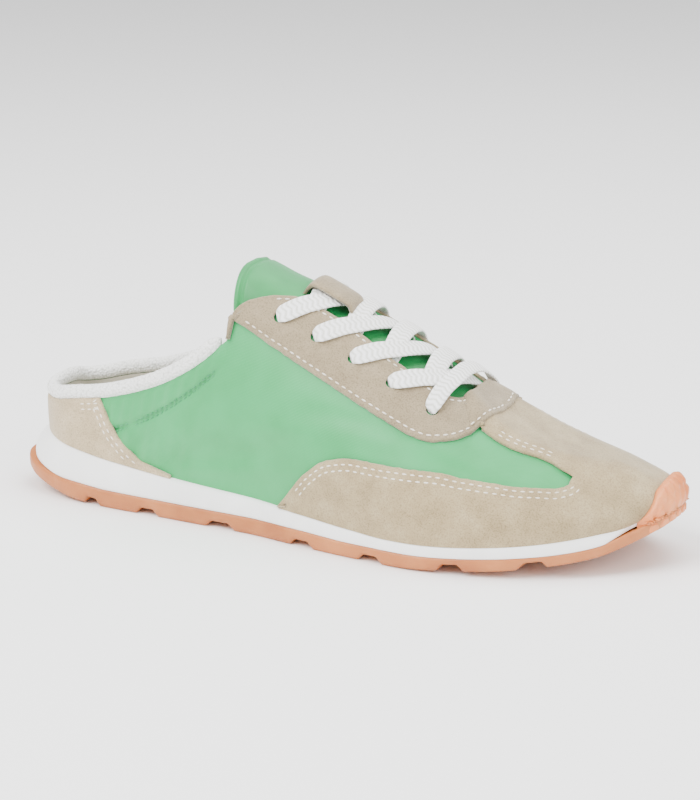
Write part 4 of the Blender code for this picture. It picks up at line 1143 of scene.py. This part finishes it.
def punch(bm: bmesh.types.BMesh, centre: Vector, axis: Vector, radius: float, reach: float = 5.0 * MM) -> None:
    """Punch a round hole through a sheet.

    Args:
        bm: mesh of the sheet.
        centre, axis: place and direction of the hole.
        radius: of the hole.
        reach: how far from the centre the sheet is looked for.
    """
    def off_axis(point: Vector) -> Vector:
        """Way from the axis to a point."""
        way = point - centre
        return way - way.dot(axis) * axis
    near = [face for face in bm.faces if (face.calc_center_median() - centre).length < reach]
    gone = [face for face in near if off_axis(face.calc_center_median()).length < radius]
    rim = {vert for face in gone for vert in face.verts}
    bmesh.ops.delete(bm, geom=gone, context="FACES")
    for vert in rim:
        if vert.is_valid and vert.link_faces:
            way = off_axis(vert.co)
            if way.length > 1e-6:
                vert.co += way * (radius / way.length - 1)


@dataclass
class Collar:
    """Padded terry roll along the collar."""

    radius: float = 2.9 * MM
    seat: float = 0.2 * MM
    columns: int = 300
    sides: int = 16
    taper: float = 7.0 * MM
    loops: float = 0.04 * MM

    def build(self) -> bpy.types.Object:
        """The roll, with rounded ends."""
        roll = Piece("collar_roll", TERRY, ("collar_binding",))
        end = LAST.turn_at(BINDING_END_STATION)
        turns = np.linspace(-end, end, self.columns)
        edge = np.array([LAST.point(t, LAST.opening_climb(t)) for t in turns])
        outward = np.array([LAST.point(t, LAST.opening_climb(t), MM) for t in turns]) - edge
        outward /= np.linalg.norm(outward, axis=1, keepdims=True)
        along = np.gradient(edge, axis=0)
        along /= np.linalg.norm(along, axis=1, keepdims=True)
        away = np.cross(outward, along)
        away /= np.linalg.norm(away, axis=1, keepdims=True)
        ways = np.concatenate([[0], np.cumsum(np.linalg.norm(np.diff(edge, axis=0), axis=1))])
        from_end = np.minimum(ways, ways[-1] - ways)
        size = np.sqrt(np.clip(1 - (1 - np.clip(from_end / self.taper, 0, 1)) ** 2, 0, 1))
        angles = np.linspace(0, FULL_TURN, self.sides + 1)
        bumps = np.random.default_rng(3).normal(0.0, self.loops, (self.columns, self.sides))
        bumps = np.column_stack([bumps, bumps[:, :1]])
        centre = edge + away * (self.radius + self.seat - 0.8 * MM) - outward * NYLON_THICK / 2
        points = np.empty((self.columns, self.sides + 1, 3))
        for j, angle in enumerate(angles):
            spoke = math.cos(angle) * away + 0.92 * math.sin(angle) * outward
            points[:, j] = centre + ((self.radius + bumps[:, j]) * size)[:, None] * spoke
        roll.add_grid(points)
        made = roll.place(outward=True)
        return made


@dataclass
class Tongue:
    """Padded nylon tongue and the suede loop on it."""

    rear: float = 95.5 * MM
    front: float = 193.0 * MM
    half_rear: float = 34.0 * MM
    half_front: float = 19.0 * MM
    thick: float = 4.5 * MM
    top: float = -2.45 * MM
    settle: float = 1.0 * MM
    tuck: float = 2.2 * MM
    bulge: float = 1.1 * MM
    bulge_half: float = 13.0 * MM
    seam_at: float = 3.4 * MM
    seam_depth: float = 0.7 * MM
    columns: int = 150
    loop_points: int = 96
    keeper_rear: float = 121.0 * MM
    keeper_front: float = 142.0 * MM
    keeper_width: float = 10.5 * MM
    keeper_offset: float = -5.5 * MM
    keeper_rise: float = 6.6 * MM
    keeper_flatness: int = 8

    def top_lift(self, x: float, across: float) -> float:
        """Height of the tongue's outer face over the last."""
        share = (x - self.rear) / (self.front - self.rear)
        tuck = self.tuck * (across / self.half_rear) ** 4
        bulge = self.bulge * float(gauss(across, self.bulge_half)) * float(ramp(x, 108 * MM, 122 * MM))
        seam = self.seam_depth * float(gauss(x - self.rear - self.seam_at, 0.8 * MM))
        return self.top - self.settle * share - tuck + bulge - seam

    def build(self) -> bpy.types.Object:
        """The padded tongue."""
        # The tongue's green is painted darker, as shade
        pad = Piece("tongue_pad", SHADED_TONGUE_NYLON, ("tongue",))
        angles = np.linspace(0, FULL_TURN, self.loop_points + 1)
        points = np.empty((self.columns, len(angles), 3))
        cloth = np.empty((self.columns, len(angles), 2))
        xs = self.rear + (self.front - self.rear) * np.linspace(0, 1, self.columns) ** 1.15
        for i, x in enumerate(xs):
            share = (x - self.rear) / (self.front - self.rear)
            half = self.half_rear + (self.half_front - self.half_rear) * share
            from_end = min(x - self.rear, self.front - x) / (0.5 * self.thick)
            round_off = math.sqrt(max(1 - (1 - min(from_end, 1.0)) ** 2, 0.0))
            for j, angle in enumerate(angles):
                c, s = math.cos(angle), math.sin(angle)
                across = half * math.copysign(abs(c) ** 0.55, c)
                depth = self.thick / 2 * (1 - round_off * math.copysign(abs(s) ** 0.5, s))
                points[i, j], _ = LAST.over_throat(x, across, self.top_lift(x, across) - depth)
                cloth[i, j] = (x, across)
        pad.add_grid(points, cloth)
        made = pad.place(outward=True)
        return made

    def keeper(self) -> bpy.types.Object:
        """The suede loop that the first laces pass under."""
        loop = Piece("lace_keeper_suede", TAUPE_SUEDE, ("lace_keeper",))
        columns, rows = 40, 14
        points = np.empty((columns, rows, 3))
        for i in range(columns):
            share = (1 - math.cos(math.pi * i / (columns - 1))) / 2
            x = self.keeper_rear + (self.keeper_front - self.keeper_rear) * share
            rise = self.keeper_rise * (1 - abs(2 * share - 1) ** self.keeper_flatness)
            for j in range(rows):
                place = 2 * j / (rows - 1) - 1
                across = self.keeper_offset + self.keeper_width / 2 * place
                rounded = 0.5 * MM * abs(place) ** 6
                lift = self.top_lift(x, self.keeper_offset) + rise + 0.3 * MM - rounded
                points[i, j], _ = LAST.over_throat(x, across, lift)
        loop.add_grid(points)
        return loop.place(wall=SUEDE_THICK)


@dataclass(frozen=True)
class Strand:
    """Visible run of the lace: knots of (X, distance from the ridge, lift, width), in millimetres."""

    name: str
    knots: tuple[tuple[float, float, float, float], ...]
    stands_for: tuple[str, ...] = ()


@dataclass
class Laces:
    """Flat cotton lace, crossed over the tongue from eyelet to eyelet."""

    samples: int = 90
    sides: int = 20
    hole_width: float = 3.6
    rest: float = 2.35

    def near_strand(self, row: int) -> Strand:
        """Strand from an outer eyelet, running forward to the inner side beneath the next far one."""
        x, across = (value / MM for value in LAST.eyelet_place(row, Side.OUTER))
        low, rest, width = (0.2 if row else -0.6), self.rest, LACE_WIDTH / MM
        return Strand(f"lace_near_{row + 1}", (
            (x - 0.6, across - 0.3, -0.6, self.hole_width), (x - 0.5, across - 0.2, 1.6, 4.8),
            (x + 1.6, across + 1.6, rest + 0.5, 7.2), (x + 7.0, across + 8.0, rest, width),
            (x + 12.6, across + 15.0, rest - 0.5, width), (x + 18.2, across + 27.5, low + 0.6, width),
            (x + 20.4, across + 38.0, low - 0.6, width), (x + 21.0, across + 45.5, -1.9, 6.0),
            (x + 21.0, across + 49.5, -2.5, 4.0),
        ), (f"lace_cross_{row + 1}",))

    def far_strand(self, row: int) -> Strand:
        """Strand from an inner eyelet, running over the near one to the outer side."""
        x, across = (value / MM for value in LAST.eyelet_place(row, Side.INNER))
        low, rest, width = (1.5 if row else 0.9), self.rest, LACE_WIDTH / MM
        return Strand(f"lace_far_{row + 1}", (
            (x - 0.6, across + 0.3, -0.6, self.hole_width), (x - 0.5, across + 0.2, 1.6, 4.8),
            (x + 0.9, across - 2.0, rest + 0.5, 7.2), (x + 2.2, across - 9.0, rest + 0.2, width),
            (x + 3.8, across - 18.0, low + 1.2, width), (x + 5.4, across - 31.0, low + 0.9, width),
            (x + 6.8, across - 41.0, 0.2, width), (x + 7.4, across - 46.5, -2.0, 6.0),
            (x + 7.6, across - 50.0, -2.6, 4.0),
        ))

    def bar(self) -> Strand:
        """The bar over the last pair of eyelets."""
        outer, inner = (LAST.eyelet_place(EYELET_ROWS - 1, side) for side in Side)
        x, across = outer[0] / MM, EYELET_SPREAD / MM
        far = inner[0] / MM
        top, width = self.rest + 2.3, 6.6
        return Strand("lace_bar_front", (
            (x - 0.6, -across - 0.3, -0.6, self.hole_width), (x - 0.5, -across - 0.2, 1.6, 4.8),
            (x - 0.2, -across + 2.6, self.rest + 0.6, 6.2), (x + 0.4, -across + 9.0, top - 0.8, width),
            (x + 1.8, -8.0, top, width), (far - 1.8, 8.0, top, width), (far - 0.4, across - 9.0, top - 0.8, width),
            (far - 0.2, across - 2.6, self.rest + 0.6, 6.2), (far - 0.5, across + 0.2, 1.6, 4.8),
            (far - 0.6, across + 0.3, -0.6, self.hole_width),
        ), ("lace_bar",))

    def build(self, strand: Strand) -> bpy.types.Object:
        """Flat rounded ribbon along a strand's knots.

        Args:
            strand: the run of lace.

        Returns:
            The finished piece.
        """
        knots = np.array(strand.knots)
        ways = np.concatenate([[0], np.cumsum(np.linalg.norm(np.diff(knots[:, :3], axis=0), axis=1))])
        shares = np.linspace(0, ways[-1], self.samples)
        run = np.stack([Table(("way", "value"), tuple(zip(ways, knots[:, k]))).at("value", shares)
                        for k in range(4)], axis=1)
        path, ups = [], []
        for x, across, lift, _ in run * MM:
            point, normal = LAST.over_throat(x, across, lift)
            path.append(point)
            ups.append(normal)
        path, ups = np.array(path), np.array(ups)
        for _ in range(3):
            path[1:-1] = (path[:-2] + 2 * path[1:-1] + path[2:]) / 4
        along = np.gradient(path, axis=0)
        along /= np.linalg.norm(along, axis=1, keepdims=True)
        overall = path[-1] - path[0]
        flat = np.array([overall - (overall @ up) * up for up in ups])
        middle = np.clip(abs(np.sum(along * ups, axis=1)), 0, 1)[:, None]
        heading = along * (1 - middle) + flat / np.linalg.norm(flat, axis=1, keepdims=True) * middle
        sideways = np.cross(ups, heading)
        sideways -= np.sum(sideways * along, axis=1, keepdims=True) * along
        sideways /= np.linalg.norm(sideways, axis=1, keepdims=True)
        above = np.cross(along, sideways)
        length = np.concatenate([[0], np.cumsum(np.linalg.norm(np.diff(path, axis=0), axis=1))])
        angles = np.linspace(0, FULL_TURN, self.sides + 1)
        points = np.empty((self.samples, len(angles), 3))
        cloth = np.empty((self.samples, len(angles), 2))
        end = np.minimum(length, length[-1] - length)
        close = np.sqrt(np.clip(1 - (1 - np.clip(end / (0.6 * MM), 0, 1)) ** 2, 0, 1))
        half = run[:, 3] * MM / 2 * np.maximum(close, 0.001)
        depth = LACE_THICK / 2 * np.maximum(close, 0.001)
        for j, angle in enumerate(angles):
            c, s = math.cos(angle), math.sin(angle)
            wide, tall = math.copysign(abs(c) ** 0.7, c), math.copysign(abs(s) ** 0.6, s)
            points[:, j] = path + (half * wide)[:, None] * sideways + (depth * tall)[:, None] * above
            cloth[:, j] = np.column_stack([length, half * wide])
        ribbon = Piece(strand.name, COTTON, strand.stands_for)
        ribbon.add_grid(points, cloth)
        return ribbon.place(outward=True)

    def build_all(self) -> None:
        """All strands and the bar."""
        for row in range(EYELET_ROWS - 1):
            self.build(self.near_strand(row))
            self.build(self.far_strand(row))
        self.build(self.bar())


@dataclass
class Sole:
    """Gum outsole with lugs and toe lip, foam wedge and footbed."""

    columns: int = 400
    cross_rows: int = 13
    lip_centre: float = 3.20
    lip_span: float = 0.42
    lip_height: float = 7.5 * MM
    lip_thick: float = 2.2 * MM
    lip_root: float = 3.2 * MM
    block: float = 5.2 * MM
    block_height: float = 0.7 * MM
    rib_pitch: float = 4.4 * MM
    rib_depth: float = 0.3 * MM
    edge_round: float = 1.4 * MM
    foam_bulge: float = 1.0 * MM

    def notch(self, station: np.ndarray) -> np.ndarray:
        """Height of the grooves' roof over the tread."""
        depth = np.zeros_like(station)
        for middle, mouth in GROOVES:
            away = abs(station - middle)
            share = ramp(mouth / 2 - away, 0.0, mouth * (1 - GROOVE_TAPER) / 1.5)
            depth = np.maximum(depth, GROOVE_DEPTH * share)
        return depth

    def flare(self, station: np.ndarray) -> np.ndarray:
        """How far the heel's edge stands out."""
        return HEEL_FLARE * np.maximum(0.0, 1 - station / HEEL_FLARE_STATION)

    def level(self, inset: np.ndarray, height: np.ndarray, turns: np.ndarray) -> np.ndarray:
        """Points of the outline at insets and heights."""
        return np.column_stack([LAST.inset_outline(turns, inset), height])

    def cap(self, rim: np.ndarray, rows: int, height: Callable[[np.ndarray, np.ndarray], np.ndarray]) -> np.ndarray:
        """Net across the sole inside a rim whose ends are the heel.

        Args:
            rim: points once round, the first and last the same.
            rows: rows across.
            height: height by points and by share across.

        Returns:
            Columns by rows by 3.
        """
        half = len(rim) // 2
        outer, inner = rim[:half + 1], rim[::-1][:half + 1]
        share = np.linspace(0, 1, rows)
        net = outer[:, None] + (inner - outer)[:, None] * share[None, :, None]
        net[:, 1:-1, 2] = height(net[:, 1:-1], share[1:-1])
        return net

    def outsole(self) -> bpy.types.Object:
        """Gum rubber outsole."""
        gum = Piece("outsole_gum", GUM, ("outsole",))
        turns = np.linspace(0, FULL_TURN, 2 * self.columns + 1)
        station = LAST.outline(turns)[:, 0] / SOLE_LENGTH
        tread = LAST.tread_height(station) + self.notch(station)
        line, flare = LAST.gum_line(station), self.flare(station)
        side = line - tread
        levels = [self.level(self.edge_round - flare, tread, turns)]
        for share, inset in ((0.05, 0.75), (0.14, 0.3), (0.28, 0.06), (0.5, 0.0), (0.78, 0.0), (0.93, 0.1)):
            levels.append(self.level(inset * self.edge_round - flare, tread + share * side, turns))
        levels.append(self.level(0.4 * self.edge_round - flare, line, turns))
        gum.add_grid(np.stack(levels, axis=1))

        def underside(points: np.ndarray, share: np.ndarray) -> np.ndarray:
            """Tread height with fine ribs across the lugs."""
            places = points[..., 0] / SOLE_LENGTH
            ribs = (1 - np.cos(FULL_TURN * points[..., 0] / self.rib_pitch)) / 2 * self.rib_depth
            inside = np.sin(np.pi * share)[None, :] ** 0.5
            return LAST.tread_height(places) + self.notch(places) + ribs * inside

        gum.add_grid(self.cap(levels[0], self.cross_rows, underside))
        gum.add_grid(self.cap(levels[-1], 3, lambda points, share: LAST.gum_line(points[..., 0] / SOLE_LENGTH)))
        return gum.place(outward=True)

    def blocks(self, along: np.ndarray, up: np.ndarray) -> np.ndarray:
        """Rounded blocks in staggered rows, 0 to 1."""
        best = np.full(np.broadcast(along, up).shape, np.inf)
        pitch = self.block * 0.87
        first = np.floor(up / pitch)
        for shift in (-1, 0, 1):
            row = first + shift
            stagger = np.mod(row, 2) * self.block / 2
            column = np.round((along - stagger) / self.block)
            best = np.minimum(best, np.hypot(along - stagger - column * self.block, up - row * pitch))
        return ramp(0.47 * self.block - best, 0.0, 0.16 * self.block)

    def toe_lip(self) -> bpy.types.Object:
        """Gum lip that wraps up over the toe, with raised blocks on its face."""
        # The lip's gum is painted lighter than the outsole's, as light
        lip = Piece("toe_lip_gum", LIT_GUM_LIP)
        columns, rows = 150, 56
        turns = np.linspace(self.lip_centre - self.lip_span, self.lip_centre + self.lip_span, columns)
        lengths = girth(turns)
        profile = Table(("across", "climb"), ((-1.0, 0.02), (-0.8, 0.45), (-0.55, 0.86), (0.0, 1.0),
                                              (0.55, 0.86), (0.8, 0.45), (1.0, 0.02)))
        points = np.empty((columns, rows, 3))
        for i, turn in enumerate(turns):
            across = (turn - self.lip_centre) / self.lip_span
            top = float(profile.at("climb", across)) * self.lip_height
            station = LAST.station_of(turn)
            foot = LAST.point(turn, 0.0, SUEDE_TOP + 0.2 * MM)
            out = LAST.point(turn, 0.0, SUEDE_TOP + 0.2 * MM + MM) - foot
            out[2] = 0.0
            out /= np.linalg.norm(out)
            base = float(LAST.gum_line(station)) - self.lip_root
            fade = float(ramp(1 - abs(across), 0.0, 0.16))
            for j in range(rows):
                share = j / (rows - 1)
                height = (foot[2] - base) + top
                way = share * height
                thick = self.lip_thick * fade * min(1.0, math.sqrt(max(1 - (share - 0.88) ** 2 / 0.0144, 0.0))
                                                    if share > 0.88 else 1.0)
                relief = self.block_height * float(self.blocks(lengths[i], way - 0.5 * MM)) * fade
                relief *= float(ramp(1 - share, 0.05, 0.16))
                if way < foot[2] - base:
                    spot = np.array([foot[0], foot[1], base + way])
                    points[i, j] = spot + out * (thick + relief)
                else:
                    climb = way - (foot[2] - base)
                    points[i, j] = LAST.point(turn, climb, SUEDE_TOP + 0.2 * MM + thick + relief)
        lip.add_grid(points)
        return lip.place(wall=1.2 * MM)

    def wedge_inset(self, station: np.ndarray) -> np.ndarray:
        """Inset of the wedge's foot, which stands back behind the toe lip."""
        toe = np.clip((station - 0.93) / 0.03, 0, 1)
        return toe * (self.lip_thick + 3 * SEAT) + (1 - toe) * SEAT

    def midsole(self) -> bpy.types.Object:
        """White foam wedge."""
        foam = Piece("midsole_foam", FOAM, ("midsole",))
        turns = np.linspace(0, FULL_TURN, 2 * self.columns + 1)
        station = LAST.outline(turns)[:, 0] / SOLE_LENGTH
        low, bed = LAST.gum_line(station) - 0.1 * MM, LAST.bed_height(station) + 0.2 * MM
        foot = self.wedge_inset(station)
        top = np.maximum(foot, SOLE.at("inset", station) * EDGE_STEP - 1.6 * MM)
        levels = []
        for share in (0.0, 0.06, 0.16, 0.3, 0.46, 0.62, 0.76, 0.87, 0.95, 1.0):
            bulge = self.foam_bulge * math.sin(math.pi * share ** 0.8) * SOLE.at("wedge", station)
            inset = foot + (top - foot) * share ** 1.6 - bulge + 0.8 * MM * max(0.0, (share - 0.87) / 0.13) ** 2
            inset += 0.5 * MM * max(0.0, (0.06 - share) / 0.06)
            levels.append(self.level(inset, low + (bed - low) * share, turns))
        foam.add_grid(np.stack(levels, axis=1))
        foam.add_grid(self.cap(levels[0], 3, lambda points, share: LAST.gum_line(
            points[..., 0] / SOLE_LENGTH) - 0.1 * MM))
        foam.add_grid(self.cap(levels[-1], 3, lambda points, share: LAST.bed_height(
            points[..., 0] / SOLE_LENGTH) + 0.2 * MM))
        return foam.place(outward=True)

    def footbed(self) -> bpy.types.Object:
        """Cloth-covered insole, a little dished."""
        bed = Piece("footbed", LINING, ("insole",))
        turns = np.linspace(0, FULL_TURN, 321)
        station = LAST.outline(turns)[:, 0] / SOLE_LENGTH
        inset = SOLE.at("inset", station) * EDGE_STEP + 2.9 * MM + 3.0 * MM * SOLE.at("spring", station)
        low = LAST.bed_height(station) + SEAT
        levels = [self.level(inset, low, turns), self.level(inset + 0.2 * MM, low + 3.2 * MM, turns),
                  self.level(inset + 0.8 * MM, low + 4.1 * MM, turns),
                  self.level(inset + 1.8 * MM, low + 4.2 * MM, turns)]
        bed.add_grid(np.stack(levels, axis=1))

        def dished(points: np.ndarray, share: np.ndarray) -> np.ndarray:
            """Top of the footbed, lower in its middle."""
            rise = INSOLE_THICK - 0.9 * MM * np.sin(np.pi * share)[None, :]
            return LAST.bed_height(points[..., 0] / SOLE_LENGTH) + SEAT + rise

        bed.add_grid(self.cap(levels[-1], 15, dished))
        bed.add_grid(self.cap(levels[0], 3, lambda points, share: LAST.bed_height(
            points[..., 0] / SOLE_LENGTH) + SEAT))
        return bed.place(outward=True)


@dataclass
class Studio:
    """Pale floor, soft lights and the photograph's camera."""

    floor_size: float = 6.0
    floor_colour: str = "#ffffff"
    world_colour: str = "#ffffff"
    world_strength: float = 0.95

    def floor(self) -> None:
        """Plain pale floor."""
        bm = bmesh.new()
        bmesh.ops.create_grid(bm, x_segments=1, y_segments=1, size=self.floor_size / 2)
        mesh = bpy.data.meshes.new("studio_floor")
        bm.to_mesh(mesh)
        bm.free()
        floor = bpy.data.objects.new("studio_floor", mesh)
        bpy.context.scene.collection.objects.link(floor)
        paper = bpy.data.materials.new("studio_paper")
        paper.use_nodes = True
        shader = paper.node_tree.nodes["Principled BSDF"]
        shader.inputs["Base Color"].default_value = linear(self.floor_colour)
        shader.inputs["Roughness"].default_value = 0.9
        mesh.materials.append(paper)

    def light(self, name: str, place: tuple[float, float, float], size: float, power: float) -> None:
        """Soft square light that looks at the shoe.

        Args:
            name: the light's name.
            place: where it hangs, in metres.
            size: width of its square.
            power: in watts.
        """
        data = bpy.data.lights.new(name, "AREA")
        data.size, data.energy = size, power
        lamp = bpy.data.objects.new(name, data)
        lamp.location = place
        lamp.rotation_mode = "QUATERNION"
        lamp.rotation_quaternion = (-Vector(place)).to_track_quat("-Z", "Y")
        bpy.context.scene.collection.objects.link(lamp)

    def camera(self) -> None:
        """Camera at the photograph's angle."""
        azimuth, elevation = math.radians(CAMERA_AZIMUTH), math.radians(CAMERA_ELEVATION)
        back = Vector((math.sin(azimuth) * math.cos(elevation), -math.cos(azimuth) * math.cos(elevation),
                       math.sin(elevation)))
        right = Vector((math.cos(azimuth), math.sin(azimuth), 0.0))
        up = back.cross(right)
        roll = math.radians(CAMERA_ROLL)
        rolled_right = right * math.cos(roll) + up * math.sin(roll)
        rolled_up = up * math.cos(roll) - right * math.sin(roll)
        data = bpy.data.cameras.new("photo_camera")
        data.lens, data.sensor_width = CAMERA_LENS, 36.0
        camera = bpy.data.objects.new("photo_camera", data)
        place = Vector(CAMERA_TARGET) + ORIGIN + back * CAMERA_DISTANCE
        camera.matrix_world = Matrix.Translation(place) @ Matrix(
            (rolled_right, rolled_up, back)).transposed().to_4x4()
        bpy.context.scene.collection.objects.link(camera)
        bpy.context.scene.camera = camera

    def build(self) -> None:
        """Floor, world, lights and camera."""
        self.floor()
        world = bpy.data.worlds.new("studio_world")
        world.use_nodes = True
        background = world.node_tree.nodes["Background"]
        background.inputs["Color"].default_value = linear(self.world_colour)
        background.inputs["Strength"].default_value = self.world_strength
        bpy.context.scene.world = world
        self.light("key_light", (-0.5, -0.9, 1.1), 0.9, 36.0)
        self.light("top_light", (0.2, 0.3, 1.3), 1.2, 22.0)
        self.light("toe_light", (1.1, -0.5, 0.7), 0.9, 12.0)
        self.camera()


def main() -> None:
    """Build the shoe's pieces in the maker's order, and the studio."""
    logging.basicConfig(level=logging.INFO, format="%(message)s")
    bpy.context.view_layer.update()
    sole = Sole()
    for build in (sole.outsole, sole.toe_lip, sole.midsole, sole.footbed):
        build()
    quarter = Quarter()
    for build in (quarter.build, quarter.line, quarter.sew_collar):
        build()
    suede = SuedeWork()
    for build in (suede.eyestay, suede.toe_guard, suede.heel_counter, suede.stitches):
        build()
    Collar().build()
    tongue = Tongue()
    tongue.build()
    tongue.keeper()
    Laces().build_all()
    Studio().build()


if __name__ == "__main__":
    main()
